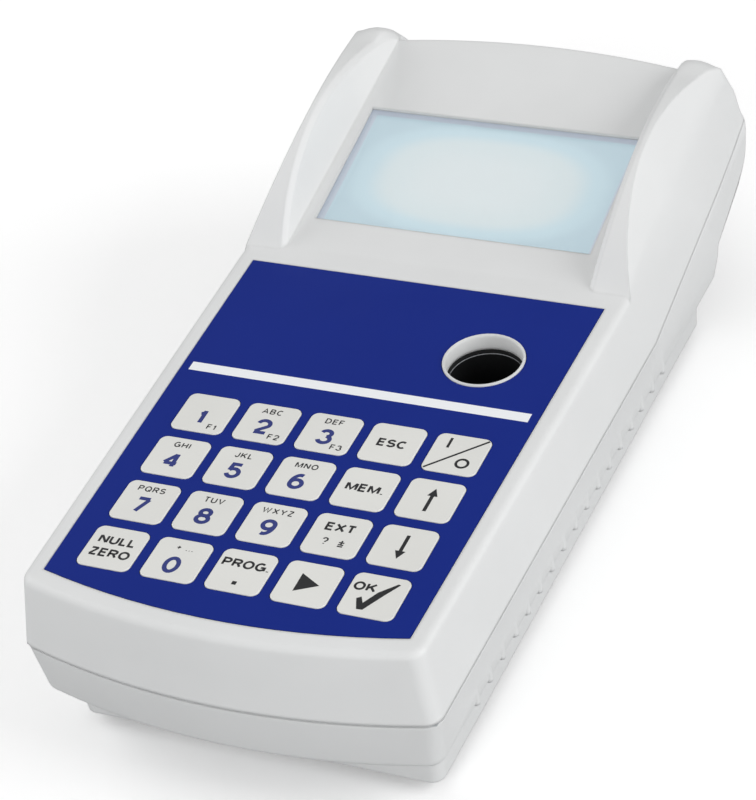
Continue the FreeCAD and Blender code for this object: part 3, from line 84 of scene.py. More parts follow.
def moulded(name, colour, shade, grain, depth, roughness, ior=1.53, soft_edge=0.0):
    """Moulded plastic: a slow change of tone, a grain of some width and depth in metres, and
    edges that catch the light as if rounded by a radius. Real grain is too fine to show here, so
    each width is as coarse as it needs to be."""
    material, tree, shader, place = start_material(name, roughness, ior)
    cloud = add(tree, "ShaderNodeTexNoise", (), {"Vector": place, "Scale": 1 / TONE_WIDTH, "Detail": 3.0})
    tone = add(tree, "ShaderNodeValToRGB", (), {"Fac": cloud.outputs["Fac"]})
    tone.color_ramp.elements[0].position = 0.35
    tone.color_ramp.elements[1].position = 0.65
    tone.color_ramp.elements[0].color = linear(shade)
    tone.color_ramp.elements[1].color = linear(colour)
    tree.links.new(tone.outputs["Color"], shader.inputs["Base Color"])
    spark = add(tree, "ShaderNodeTexNoise", (), {
        "Vector": place, "Scale": 1 / grain, "Detail": 4.0, "Roughness": 0.6,
    })
    spread = add(tree, "ShaderNodeMapRange", (), {
        "Value": spark.outputs["Fac"], "From Min": 0.3, "From Max": 0.7,
        "To Min": roughness - 0.05, "To Max": roughness + 0.07,
    })
    tree.links.new(spread.outputs["Result"], shader.inputs["Roughness"])
    bump = add(tree, "ShaderNodeBump", (), {
        "Height": spark.outputs["Fac"], "Strength": 0.5, "Distance": depth,
    })
    if soft_edge:
        edge = add(tree, "ShaderNodeBevel", {"samples": 6}, {"Radius": soft_edge})
        tree.links.new(edge.outputs["Normal"], bump.inputs["Normal"])
    tree.links.new(bump.outputs["Normal"], shader.inputs["Normal"])
    return material


def ease(low, high, amount):
    """Share from 0 to 1, as an amount goes from low to high without a kink."""
    share = min(max((amount - low) / (high - low), 0.0), 1.0)
    return share * share * (3 - 2 * share)


# The shells are cut along these levels and lines at the rear, so that they can bend there. Each
# pair in brackets is where a change begins and where it is complete.
PARTING_HEIGHT = 0.0425
BEND_START, CHEEK_HEIGHT, CHEEK_SIDE = 0.078, 0.048, 0.038
BEND_LEVELS = (0.028, 0.031, 0.034, 0.0365, 0.039, 0.041, 0.0445, 0.047, 0.0495, 0.052, 0.055)
BEND_LINES = (0.0388, 0.040, 0.0415, 0.043, 0.0445)
CORNER_INWARD, CORNER_FORWARD, CHEEK_CROWN = 0.0008, 0.0021, 0.0016
CORNER_ACROSS, CORNER_ALONG = (0.0392, 0.0464), (0.082, 0.098)
CROWN_RISE, CROWN_FALL = (0.0372, 0.0392), (0.0412, 0.0466)
CROWN_ALONG, CROWN_UP = (0.080, 0.089), (0.052, 0.057)


def tuck(height):
    """Share by which the rear corner is drawn in at a height, most at the parting line."""
    at_parting, fade_above, fade_below = 0.68, 0.0075, (0.012, 0.022)
    if height > PARTING_HEIGHT:
        return at_parting * max(1.0 - (height - PARTING_HEIGHT) / fade_above, 0.0)
    return at_parting * (1.0 - ease(*fade_below, PARTING_HEIGHT - height))


def cut_across(work, faces, spot, facing):
    """Cuts some faces along a plane, so that they can bend there."""
    parts = {item for face in faces for item in (*face.verts, *face.edges)}
    bmesh.ops.bisect_plane(work, geom=faces + list(parts), dist=1e-6, plane_co=spot, plane_no=facing)


def round_rear(work):
    """Draws a shell's two rear corners into a soft round, and crowns the tops of the cheeks."""
    for level in BEND_LEVELS:
        corners = [face for face in work.faces if face.calc_center_median().y > BEND_START
                   and max(abs(vert.co.x) for vert in face.verts) > CHEEK_SIDE]
        cut_across(work, corners, (0, 0, level), (0, 0, 1))
    for line in sorted(side * line for side in (-1, 1) for line in BEND_LINES):
        cheeks = [face for face in work.faces if face.calc_center_median().y > BEND_START
                  and face.calc_center_median().z > CHEEK_HEIGHT]
        cut_across(work, cheeks, (line, 0, 0), (1, 0, 0))
    for vert in work.verts:
        place, out = vert.co, abs(vert.co.x)
        inward = ease(*CORNER_ACROSS, out) * ease(*CORNER_ALONG, place.y) * tuck(place.z)
        crown = ease(*CROWN_RISE, out) * (1.0 - ease(*CROWN_FALL, out))
        crown *= ease(*CROWN_ALONG, place.y) * ease(*CROWN_UP, place.z)
        vert.co = Vector((
            place.x - math.copysign(CORNER_INWARD, place.x) * inward,
            place.y - CORNER_FORWARD * inward,
            place.z + CHEEK_CROWN * crown,
        ))


def place_piece(mesh, name, body, slot, *nodes):
    """Links a finished mesh, gives it its body, and hides what it stands for. The slot is not used."""
    piece = bpy.data.objects.new(name, mesh)
    bpy.context.scene.collection.objects.link(piece)
    if nodes:
        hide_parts(*nodes)
    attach(piece, body)


def smooth_copy(node, name, body, slot, material, angle, shaping=None):
    """A merged copy of a CAD solid, shaded smooth where it turns by less than an angle."""
    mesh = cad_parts[node].data.copy()
    mesh.name = name
    work = bmesh.new()
    work.from_mesh(mesh)
    bmesh.ops.remove_doubles(work, verts=work.verts, dist=2e-6)
    bmesh.ops.dissolve_degenerate(work, edges=work.edges, dist=1e-6)
    if shaping:
        shaping(work)
    for face in work.faces:
        face.smooth = True
    for edge in work.edges:
        edge.smooth = len(edge.link_faces) == 2 and edge.calc_face_angle(0.0) < math.radians(angle)
    work.to_mesh(mesh)
    work.free()
    mesh.materials.clear()
    mesh.materials.append(material)
    place_piece(mesh, name, body, slot, node)


shell = moulded("abs_spark_textured", "#e4e5e5", "#e0e1e1", 0.00035, 0.00002, 0.48, soft_edge=0.0011)


def slim_base(work):
    """The base, and what is seated in it, drawn in a little under the skirt on both sides."""
    base_top, base_rear, narrowing, across = 0.0134, 0.0675, 0.0008, (0.030, 0.0425)
    for vert in work.verts:
        if vert.co.z < base_top and vert.co.y < base_rear:
            vert.co.x -= math.copysign(narrowing, vert.co.x) * ease(*across, abs(vert.co.x))


def shape_lower(work):
    """The rear corners and the slim base of the lower shell."""
    round_rear(work)
    slim_base(work)


smooth_copy("bottom_shell", "lower_shell", "housing", "shell_plastic", shell, 32.0, shape_lower)

# Upper shell: the same ABS, moulded in one piece with the deck, the cheeks and the white collar
# round the tube well. It drops onto the seal and is drawn down by four screws from below.
smooth_copy("top_shell", "upper_shell", "housing", "shell_plastic", shell, 32.0, round_rear)

# Seal in the parting line: extruded silicone cord, pale grey and slightly dull, pressed flat
# between the two shells, so that only a thin grey line shows.
CORD_MOTTLE = 0.0011
silicone, tree, shader, place = start_material("silicone_extruded", 0.62, 1.41)
cloud = add(tree, "ShaderNodeTexNoise", (), {"Vector": place, "Scale": 1 / CORD_MOTTLE, "Detail": 2.0})
tone = add(tree, "ShaderNodeMix", {"data_type": "RGBA"}, {
    "Factor": cloud.outputs["Fac"], 6: linear("#a4a8aa"), 7: linear("#b0b4b6"),
})
tree.links.new(tone.outputs[2], shader.inputs["Base Color"])
smooth_copy("housing_seal", "parting_seal", "housing", "seal_rubber", silicone, 40.0, round_rear)

# Battery door: ABS plate with the shells' own texture, slid in from the rear. Its five thumb
# grooves are cut in the solid.
smooth_copy("battery_door", "sliding_door", "bay_door", "shell_plastic", shell, 25.0)

# Feet: four discs of moulded nitrile rubber, matt and dark grey, pressed into seats in the base,
# so that the meter stands firm on a bench.
rubber = moulded("nitrile_rubber_moulded", "#2b2c2e", "#232426", 0.0006, 0.00003, 0.7, 1.52)
smooth_copy("rubber_feet", "soft_feet", "housing", "seal_rubber", rubber, 40.0, slim_base)

# Keypad film: polyester, printed on its rear in blue with one bare white band, and faintly
# grained on top. The grain is drawn coarser than it is, so that it shows. The film is stuck down
# in its recess, with the keys showing through twenty windows.


def dress(material, *nodes):
    """Gives a material to CAD solids that are shown as they are."""
    for name in nodes:
        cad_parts[name].data.materials.clear()
        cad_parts[name].data.materials.append(material)


BAND_MIDDLE, BAND_HALF_WIDTH, BAND_REACH = -0.0258, 0.0014, 0.0403
PRINT_MOTTLE, FILM_GRAIN, FILM_GRAIN_DEPTH = 0.0167, 0.00025, 0.00001
film, tree, shader, place = start_material("polyester_film_reverse_printed", 0.5, 1.57)
shader.inputs["Specular IOR Level"].default_value = 0.12
split = add(tree, "ShaderNodeSeparateXYZ", (), {"Vector": place})
along = add(tree, "ShaderNodeMath", {"operation": "SUBTRACT"}, {0: split.outputs["Y"], 1: BAND_MIDDLE})
near = add(tree, "ShaderNodeMath", {"operation": "ABSOLUTE"}, {0: along.outputs[0]})
thick = add(tree, "ShaderNodeMath", {"operation": "LESS_THAN"}, {0: near.outputs[0], 1: BAND_HALF_WIDTH})
across = add(tree, "ShaderNodeMath", {"operation": "ABSOLUTE"}, {0: split.outputs["X"]})
wide = add(tree, "ShaderNodeMath", {"operation": "LESS_THAN"}, {0: across.outputs[0], 1: BAND_REACH})
band = add(tree, "ShaderNodeMath", {"operation": "MULTIPLY"}, {0: thick.outputs[0], 1: wide.outputs[0]})
ink = add(tree, "ShaderNodeTexNoise", (), {"Vector": place, "Scale": 1 / PRINT_MOTTLE, "Detail": 2.0})
blue = add(tree, "ShaderNodeMix", {"data_type": "RGBA"}, {
    "Factor": ink.outputs["Fac"], 6: linear("#07237f"), 7: linear("#0b2785"),
})
print_colour = add(tree, "ShaderNodeMix", {"data_type": "RGBA"}, {
    "Factor": band.outputs[0], 6: blue.outputs[2], 7: linear("#f1f3f6"),
})
tree.links.new(print_colour.outputs[2], shader.inputs["Base Color"])
grain = add(tree, "ShaderNodeTexNoise", (), {"Vector": place, "Scale": 1 / FILM_GRAIN, "Detail": 2.0})
bump = add(tree, "ShaderNodeBump", (), {
    "Height": grain.outputs["Fac"], "Strength": 0.35, "Distance": FILM_GRAIN_DEPTH,
})
tree.links.new(bump.outputs["Normal"], shader.inputs["Normal"])
dress(film, "keypad_overlay")

# Keys: raised squares of the printed film, each on its own dome. One Geometry Nodes tree makes
# the rounded cap, and a bevel softens the rim. The legends are flat prints on the cap.
CAP_SIZE, CAP_CORNER, CAP_SOFTNESS = 0.0123, 0.0018, 0.00025
CAP_HEIGHT = (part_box("key_1")[1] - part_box("key_1")[0]).z
key_film = moulded("polyester_film_embossed", "#e6e6e2", "#e0e0dc", 0.0004, 0.00001, 0.4, 1.57)


def socket(tree, name, kind="NodeSocketFloat"):
    """A named input of a Geometry Nodes tree."""
    return tree.interface.new_socket(name=name, in_out="INPUT", socket_type=kind)


def plain_mesh(host, name):
    """The evaluated result of an object's modifiers as a plain mesh, with the host removed."""
    depsgraph = bpy.context.evaluated_depsgraph_get()
    mesh = bpy.data.meshes.new_from_object(host.evaluated_get(depsgraph))
    mesh.name = name
    bpy.data.objects.remove(host)
    return mesh


cap_tree = bpy.data.node_groups.new("key_cap", "GeometryNodeTree")
cap_tree.interface.new_socket(name="Geometry", in_out="OUTPUT", socket_type="NodeSocketGeometry")
cap_inputs = {name: socket(cap_tree, name) for name in ("Side", "Corner radius", "Height")}
cap_inputs["Material"] = socket(cap_tree, "Material", "NodeSocketMaterial")
given = add(cap_tree, "NodeGroupInput")
square = add(cap_tree, "GeometryNodeCurvePrimitiveQuadrilateral", {"mode": "RECTANGLE"}, {
    "Width": given.outputs["Side"], "Height": given.outputs["Side"],
})
rounded = add(cap_tree, "GeometryNodeFilletCurve", {"mode": "POLY"}, {
    "Curve": square.outputs["Curve"], "Radius": given.outputs["Corner radius"], "Count": 10,
})
sheet = add(cap_tree, "GeometryNodeFillCurve", {"mode": "NGONS"}, {"Curve": rounded.outputs["Curve"]})
lift = add(cap_tree, "ShaderNodeCombineXYZ", (), {"Z": given.outputs["Height"]})
raised = add(cap_tree, "GeometryNodeExtrudeMesh", {"mode": "FACES"}, {
    "Mesh": sheet.outputs["Mesh"], "Offset": lift.outputs["Vector"], "Individual": False,
})
closed = add(cap_tree, "GeometryNodeFlipFaces", (), {"Mesh": sheet.outputs["Mesh"]})
whole = add(cap_tree, "GeometryNodeJoinGeometry")
cap_tree.links.new(raised.outputs["Mesh"], whole.inputs["Geometry"])
cap_tree.links.new(closed.outputs["Mesh"], whole.inputs["Geometry"])
welded = add(cap_tree, "GeometryNodeMergeByDistance", (), {
    "Geometry": whole.outputs["Geometry"], "Distance": 1e-6,
})
real = add(cap_tree, "GeometryNodeRealizeInstances", (), {"Geometry": welded.outputs["Geometry"]})
finish = add(cap_tree, "GeometryNodeSetMaterial", (), {
    "Geometry": real.outputs["Geometry"], "Material": given.outputs["Material"],
})
result = add(cap_tree, "NodeGroupOutput")
cap_tree.links.new(finish.outputs["Geometry"], result.inputs["Geometry"])

host = bpy.data.objects.new("cap_host", bpy.data.meshes.new("cap_host"))
bpy.context.scene.collection.objects.link(host)
form = host.modifiers.new("cap", "NODES")
form.node_group = cap_tree
cap_values = {"Side": CAP_SIZE, "Corner radius": CAP_CORNER, "Height": CAP_HEIGHT, "Material": key_film}
for name, content in cap_values.items():
    form[cap_inputs[name].identifier] = content
soften = host.modifiers.new("rim", "BEVEL")
soften.width, soften.segments = CAP_SOFTNESS, 4
soften.limit_method, soften.angle_limit = "ANGLE", math.radians(50)
cap_mesh = plain_mesh(host, "cap")

# Legends: screen ink, blue for the figures and black for the rest, a hair above the caps. Each
# sign is drawn as a few strokes in a cell one high and one wide, and the first number is
# the cell's real width as a share of its height.
blue_ink = moulded("screen_ink_blue", "#27357f", "#222f78", 0.0005, 0.000002, 0.45, 1.5)
black_ink = moulded("screen_ink_black", "#1b1c1f", "#161719", 0.0005, 0.000002, 0.45, 1.5)
MM = 0.001
INK_HEIGHT, STROKE_LIFT = 0.015 * MM, 0.0005 * MM


def bow(x, y, across, up, first, last):
    """Points round part of an oval, from one angle to another in degrees."""
    degrees_apart, fewest = 15, 3
    steps = max(fewest, int(abs(last - first) / degrees_apart))
    turns = [math.radians(first + (last - first) * n / steps) for n in range(steps + 1)]
    return [(x + across * math.cos(turn), y + up * math.sin(turn)) for turn in turns]


STROKES = {
    "0": (0.62, [bow(0.5, 0.5, 0.5, 0.5, 90, 450)]),
    "1": (0.36, [[(0.75, 0), (0.75, 1)], [(0.75, 0.92), (0.55, 0.79), (0.05, 0.74)]]),
    "2": (0.6, [bow(0.5, 0.7, 0.5, 0.3, 172, -30) + [(0.06, 0.08)], [(0, 0), (1, 0)]]),
    "3": (0.6, [bow(0.48, 0.76, 0.42, 0.24, 165, -75), bow(0.5, 0.28, 0.5, 0.28, 80, -168)]),
    "4": (0.64, [[(0.74, 0), (0.74, 1)], [(0.7, 0.96), (0, 0.28)], [(0, 0.25), (1, 0.25)]]),
    "5": (0.6, [[(0.92, 1), (0.2, 1), (0.1, 0.5)], bow(0.5, 0.32, 0.5, 0.32, 142, -165)]),
    "6": (0.6, [bow(0.5, 0.31, 0.5, 0.31, 0, 360), bow(0.62, 0.34, 0.62, 0.66, 178, 72)]),
    "7": (0.58, [[(0, 1), (1, 1)], [(0.96, 0.96), (0.3, 0)]]),
    "8": (0.6, [bow(0.5, 0.76, 0.42, 0.24, 0, 360), bow(0.5, 0.27, 0.5, 0.27, 0, 360)]),
    "9": (0.6, [bow(0.5, 0.69, 0.5, 0.31, 0, 360), bow(0.38, 0.66, 0.62, 0.66, -2, -108)]),
    "A": (0.72, [[(0, 0), (0.5, 1), (1, 0)], [(0.2, 0.3), (0.8, 0.3)]]),
    "B": (0.62, [[(0, 0), (0, 1)] + bow(0.55, 0.76, 0.36, 0.24, 90, -90) + [(0, 0.52)],
                 [(0.5, 0.52)] + bow(0.58, 0.26, 0.42, 0.26, 90, -90) + [(0, 0)]]),
    "C": (0.68, [bow(0.5, 0.5, 0.5, 0.5, 48, 312)]),
    "D": (0.66, [[(0, 0), (0, 1)] + bow(0.4, 0.5, 0.6, 0.5, 90, -90) + [(0, 0)]]),
    "E": (0.56, [[(1, 1), (0, 1), (0, 0), (1, 0)], [(0, 0.52), (0.9, 0.52)]]),
    "F": (0.54, [[(1, 1), (0, 1), (0, 0)], [(0, 0.5), (0.85, 0.5)]]),
    "G": (0.72, [bow(0.5, 0.5, 0.5, 0.5, 48, 330), [(0.55, 0.45), (1, 0.45), (1, 0)]]),
    "H": (0.66, [[(0, 0), (0, 1)], [(1, 0), (1, 1)], [(0, 0.5), (1, 0.5)]]),
    "I": (0.16, [[(0.5, 0), (0.5, 1)]]),
    "J": (0.5, [[(1, 1)] + bow(0.5, 0.3, 0.5, 0.3, 0, -170)]),
    "K": (0.66, [[(0, 0), (0, 1)], [(0.95, 1), (0.05, 0.36)], [(0.35, 0.62), (1, 0)]]),
    "L": (0.52, [[(0, 1), (0, 0), (1, 0)]]),
    "M": (0.8, [[(0, 0), (0, 1)], [(0.05, 1), (0.5, 0.05), (0.95, 1)], [(1, 1), (1, 0)]]),
    "N": (0.66, [[(0, 0), (0, 1)], [(0.04, 1), (0.96, 0)], [(1, 0), (1, 1)]]),
    "O": (0.74, [bow(0.5, 0.5, 0.5, 0.5, 90, 450)]),
    "P": (0.6, [[(0, 0), (0, 1)] + bow(0.58, 0.73, 0.42, 0.27, 90, -90) + [(0, 0.46)]]),
    "Q": (0.74, [bow(0.5, 0.5, 0.5, 0.5, 90, 450), [(0.6, 0.3), (1, -0.02)]]),
    "R": (0.64, [[(0, 0), (0, 1)] + bow(0.56, 0.75, 0.42, 0.25, 90, -90) + [(0, 0.5)],
                 [(0.55, 0.5), (1, 0)]]),
    "S": (0.62, [bow(0.5, 0.755, 0.47, 0.245, 25, 270) + bow(0.5, 0.255, 0.5, 0.255, 90, -155)]),
    "T": (0.6, [[(0, 1), (1, 1)], [(0.5, 1), (0.5, 0)]]),
    "U": (0.64, [[(0, 1)] + bow(0.5, 0.34, 0.5, 0.34, 180, 360) + [(1, 1)]]),
    "V": (0.7, [[(0, 1), (0.5, 0), (1, 1)]]),
    "W": (0.98, [[(0, 1), (0.26, 0), (0.5, 0.95), (0.74, 0), (1, 1)]]),
    "X": (0.68, [[(0, 0), (1, 1)], [(0, 1), (1, 0)]]),
    "Y": (0.68, [[(0, 1), (0.5, 0.42), (1, 1)], [(0.5, 0.45), (0.5, 0)]]),
    "Z": (0.6, [[(0, 1), (1, 1)], [(0.97, 0.97), (0.03, 0.03)], [(0, 0), (1, 0)]]),
    ".": (0.2, [[(0.5, -0.06), (0.5, 0.06)]]),
    "?": (0.52, [bow(0.5, 0.72, 0.5, 0.28, 170, -50) + [(0.5, 0.3)], [(0.5, -0.06), (0.5, 0.08)]]),
    "+": (0.6, [[(0, 0.45), (1, 0.45)], [(0.5, 0.1), (0.5, 0.8)]]),
    "=": (0.6, [[(0, 0.6), (1, 0.6)], [(0, 0.3), (1, 0.3)]]),
    " ": (0.3, []),
}


def ribbon(line, width):
    """Both borders of a line of some width, with mitred corners that are kept short."""
    sharpest, furthest = 0.3, 0.75
    closed = len(line) > 3 and (line[0] - line[-1]).length < 1e-7
    left, right = [], []
    for index, spot in enumerate(line):
        before = line[max(index - 1, 0)]
        after = line[min(index + 1, len(line) - 1)]
        if closed and index in (0, len(line) - 1):
            before, after = line[-2], line[1]
        arrive = (spot - before).normalized()
        if arrive.length == 0:
            arrive = (after - spot).normalized()
        leave = (after - spot).normalized() if (after - spot).length > 0 else arrive
        middle = (arrive + leave).normalized()
        normal = Vector((-middle.y, middle.x))
        reach = min(width / 2 / max(abs(middle.dot(arrive)), sharpest), width * furthest)
        left.append(spot + normal * reach)
        right.append(spot - normal * reach)
    return left, right


def lettering(words, size, x, y, ink, stretch, weight, gap):
    """Flat letters about a middle, with the height of a capital in metres. Each stroke of a sign
    lies a little above the one before, so that they don't flicker where they cross."""
    widths = [STROKES[sign][0] for sign in words]
    start = -(sum(widths) + gap * (len(words) - 1)) / 2
    inset = weight / 2
    verts, faces = [], []
    for sign, wide in zip(words, widths):
        for number, line in enumerate(STROKES[sign][1]):
            spots = [Vector((
                (start + inset / stretch + across * (wide - weight / stretch)) * size * stretch,
                (inset + up * (1 - weight)) * size,
            )) for across, up in line]
            left, right = ribbon(spots, weight * size)
            first = len(verts)
            height = INK_HEIGHT + number * STROKE_LIFT
            verts += [(x + spot.x, y + spot.y, height) for pair in zip(left, right) for spot in pair]
            faces += [(first + 2 * n + 1, first + 2 * n + 3, first + 2 * n + 2, first + 2 * n)
                      for n in range(len(spots) - 1)]
        start += wide + gap
    mesh = bpy.data.meshes.new("letters")
    mesh.from_pydata(verts, [], faces)
    mesh.materials.append(ink)
    return mesh


def joined(meshes, name):
    """Several meshes as one mesh, with their materials kept."""
    work = bmesh.new()
    inks = []
    for mesh in meshes:
        first = len(work.faces)
        work.from_mesh(mesh)
        work.faces.ensure_lookup_table()
        if mesh.materials[0] not in inks:
            inks.append(mesh.materials[0])
        for face in work.faces[first:]:
            face.material_index = inks.index(mesh.materials[0])
    whole = bpy.data.meshes.new(name)
    work.to_mesh(whole)
    work.free()
    for ink in inks:
        whole.materials.append(ink)
    return whole


def digit(sign, y=-3.7):
    """A large blue figure a little left of the middle."""
    return lettering(sign, 5.0 * MM, -0.35 * MM, y * MM, blue_ink, stretch=1.22, weight=0.2, gap=0.14)


def small(words, x=-0.2, y=3.0, size=1.7):
    """A small black line of letters."""
    return lettering(words, size * MM, x * MM, y * MM, black_ink, stretch=1.22, weight=0.17, gap=0.16)


def bold(words, y, x=0.0):
    """A bold black word."""
    return lettering(words, 2.5 * MM, x * MM, y * MM, black_ink, stretch=1.344, weight=0.215, gap=0.075)


def polygon(points):
    """A flat black shape from its corners in millimetres, anticlockwise."""
    mesh = bpy.data.meshes.new("shape")
    mesh.from_pydata([(x * MM, y * MM, INK_HEIGHT) for x, y in points], [], [tuple(range(len(points)))])
    mesh.materials.append(black_ink)
    return mesh


def arrow(way):
    """A black arrow that points up the pad, or down it."""
    half, head, top, root = 0.4, 1.15, 3.6, 1.2
    right_side = [(half, -top), (half, root), (head, root)]
    left_side = [(-x, y) for x, y in reversed(right_side)]
    return polygon([(x * way, y * way) for x, y in right_side + [(0, top)] + left_side])


def ring(x, y, outer, inner):
    """A flat black ring from its middle and its two radii in millimetres."""
    mesh = bpy.data.meshes.new("ring")
    steps = 40
    turns = [2 * math.pi * n / steps for n in range(steps)]
    points = [((x + radius * math.cos(turn)) * MM, (y + radius * math.sin(turn)) * MM, INK_HEIGHT)
              for radius in (inner, outer) for turn in turns]
    faces = [(n, steps + n, steps + (n + 1) % steps, (n + 1) % steps) for n in range(steps)]
    mesh.from_pydata(points, [], faces)
    mesh.materials.append(black_ink)
    return mesh


legends = {
    "key_1": [digit("1"), small("F1", 3.35, -4.9)],
    "key_2": [digit("2"), small("ABC"), small("F2", 3.35, -4.9)],
    "key_3": [digit("3"), small("DEF"), small("F3", 3.35, -4.9)],
    "key_4": [digit("4"), small("GHI")],
    "key_5": [digit("5"), small("JKL")],
    "key_6": [digit("6"), small("MNO")],
    "key_7": [digit("7"), small("PQRS")],
    "key_8": [digit("8"), small("TUV")],
    "key_9": [digit("9"), small("WXYZ")],
    "key_0": [digit("0", -4.2), small("+ ...", 0.3, 2.9, 1.5)],
    "key_escape": [bold("ESC", -1.2)],
    "key_memory": [bold("MEM.", -1.1)],
    "key_sign": [
        bold("EXT", 1.1), small("?", -1.7, -3.1, 2.1),
        small("+", 2.0, -2.85, 2.1), small("=", 2.0, -3.75, 2.1),
    ],
    "key_zero_set": [bold("NULL", 0.9), bold("ZERO", -3.0)],
    "key_point": [bold("PROG.", 0.9, 0.2), polygon([(-0.5, -4.0), (0.5, -4.0), (0.5, -3.0), (-0.5, -3.0)])],
    "key_method": [polygon([(-2.1, -2.7), (2.7, 0), (-2.1, 2.7)])],
    "key_up": [arrow(1)],
    "key_down": [arrow(-1)],
    "key_accept": [bold("OK", 0.9, -2.8), polygon([
        (-2.1, -4.4), (-0.8, -4.3), (1.9, 0.6), (4.1, 4.25), (3.55, 4.4), (0.4, 1.15), (-1.5, -2.4),
        (-2.4, -0.75), (-3.3, -1.4),
    ])],
    "key_power": [
        polygon([(-5.65, -5.3), (-5.3, -5.65), (5.65, 5.3), (5.3, 5.65)]),
        polygon([(-3.1, 1.6), (-2.5, 1.6), (-2.5, 4.8), (-3.1, 4.8)]),
        ring(2.2, -2.6, 1.6, 1.0),
    ],
}
for name, prints in legends.items():
    low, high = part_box(name)
    middle = (low + high) / 2
    cap = cap_mesh.copy()
    cap.transform(Matrix.Translation((middle.x, middle.y, low.z)))
    place_piece(cap, name + "_cap", name + "_cap", "key_plastic", name)
    legend = joined(prints, name + "_legend")
    legend.transform(Matrix.Translation((middle.x, middle.y, high.z)))
    place_piece(legend, name + "_legend", name + "_cap", "key_plastic")

# Layers under the keys: a spacer, twenty sprung steel domes, and a circuit sheet with printed
# silver tracks. They are stacked under the film, and show only when it is lifted. The spacer is
# clear in life, and is drawn pale.
spacer = moulded("polyester_spacer_clear", "#c3c6c8", "#b9bcbe", 0.0006, 0.000005, 0.35, 1.57)
dress(spacer, "keypad_spacer")
tracks = moulded("circuit_sheet_silver_print", "#a9a392", "#8f8a7b", 0.0008, 0.00001, 0.4, 1.57)
dress(tracks, "keypad_circuit")


def metal(name, colour, shade, grain, depth, roughness):
    """Bare or plated metal, with the same slow change of tone and grain as the plastics."""
    material = moulded(name, colour, shade, grain, depth, roughness, 1.5)
    material.node_tree.nodes["Principled BSDF"].inputs["Metallic"].default_value = 1.0
    return material


steel = metal("spring_steel_rolled", "#b9bab8", "#a9aaa8", 0.0004, 0.000002, 0.28)
dress(steel, "snap_domes", "axle_clip", "battery_contacts")

# Tube well: glass-filled nylon moulded in matt black, so that no light strays into the beam.
# A foam ring closes the gap between the well and the white collar above it. A light band
# painted on its lowest edge is a painted highlight, a thin light line round the dark mouth.
nylon = moulded("nylon_glass_filled_black", "#131416", "#0e0f10", 0.0005, 0.00002, 0.5, 1.53)
smooth_copy("tube_holder", "tube_well", "housing", "optics_plastic", nylon, 40.0)
dress(nylon, "optics_bracket")
foam = moulded("polyurethane_foam_black", "#1b1c1d", "#101112", 0.0007, 0.0001, 0.9, 1.45)
tree = foam.node_tree
shader = tree.nodes["Principled BSDF"]
pores = shader.inputs["Base Color"].links[0].from_socket
# Painted highlight: the foam's lowest 0.2 mm is painted light grey, where the mouth's edge catches the
# light.
HIGHLIGHT_HEIGHT = 0.0002
rise = add(tree, "ShaderNodeSeparateXYZ", (), {"Vector": tree.nodes["Texture Coordinate"].outputs["Object"]})
highlight_band = add(tree, "ShaderNodeMath", {"operation": "LESS_THAN"}, {
    0: rise.outputs["Z"], 1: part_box("light_seal")[0].z + HIGHLIGHT_HEIGHT,
})
painted_highlight = add(tree, "ShaderNodeMix", {"data_type": "RGBA"}, {
    "Factor": highlight_band.outputs[0], 6: pores, 7: linear("#b9bcc0"),
})
tree.links.new(painted_highlight.outputs[2], shader.inputs["Base Color"])
dress(foam, "light_seal")

# Display: a clear acrylic window on a ledge, the liquid crystal cell close behind it, and a
# milky edge-lit panel. The cell carries a painted glow: it emits light, whitest in the middle
# and bluer outwards, up to a bluish grey border that is emitted too.
WIPE_MARK = 0.0083
acrylic, tree, shader, place = start_material("acrylic_clear_cast", 0.03, 1.49)
shader.inputs["Transmission Weight"].default_value = 1.0
shader.inputs["Base Color"].default_value = linear("#fbfdff")
wipe = add(tree, "ShaderNodeTexNoise", (), {"Vector": place, "Scale": 1 / WIPE_MARK, "Detail": 3.0})
haze = add(tree, "ShaderNodeMapRange", (), {"Value": wipe.outputs["Fac"], "To Min": 0.02, "To Max": 0.06})
tree.links.new(haze.outputs["Result"], shader.inputs["Roughness"])
dress(acrylic, "display_window")

# The border begins at a share of the glow's half size, and the power makes the glow squarish.
GLOW_HALF_LENGTH, GLOW_HALF_DEPTH, GLOW_POWER = 0.0335, 0.0185, 2.6
BORDER_ACROSS, BORDER_ALONG = 0.985, 0.965
cell, tree, shader, place = start_material("liquid_crystal_cell_painted_glow", 0.25, 1.52)
low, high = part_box("lcd_glass")
centre = (low + high) / 2
shifted = add(tree, "ShaderNodeVectorMath", {"operation": "SUBTRACT"}, {0: place, 1: tuple(centre)})
scaled = add(tree, "ShaderNodeVectorMath", {"operation": "DIVIDE"}, {
    0: shifted.outputs[0], 1: (GLOW_HALF_LENGTH, GLOW_HALF_DEPTH, 1.0),
})
lobes = add(tree, "ShaderNodeSeparateXYZ", (), {"Vector": scaled.outputs[0]})
reach = []
for axis in ("X", "Y"):
    size = add(tree, "ShaderNodeMath", {"operation": "ABSOLUTE"}, {0: lobes.outputs[axis]})
    reach.append(add(tree, "ShaderNodeMath", {"operation": "POWER"}, {0: size.outputs[0], 1: GLOW_POWER}))
total = add(tree, "ShaderNodeMath", {"operation": "ADD"}, {0: reach[0].outputs[0], 1: reach[1].outputs[0]})
tone = add(tree, "ShaderNodeValToRGB", (), {"Fac": total.outputs[0]})
tone.color_ramp.interpolation = "EASE"
tone.color_ramp.elements[0].color = linear("#e9ecea")
tone.color_ramp.elements[1].color = linear("#bbd3dd")
tone.color_ramp.elements.new(0.3).color = linear("#e2e9e8")
tone.color_ramp.elements.new(0.65).color = linear("#c8e0e8")
edge = []
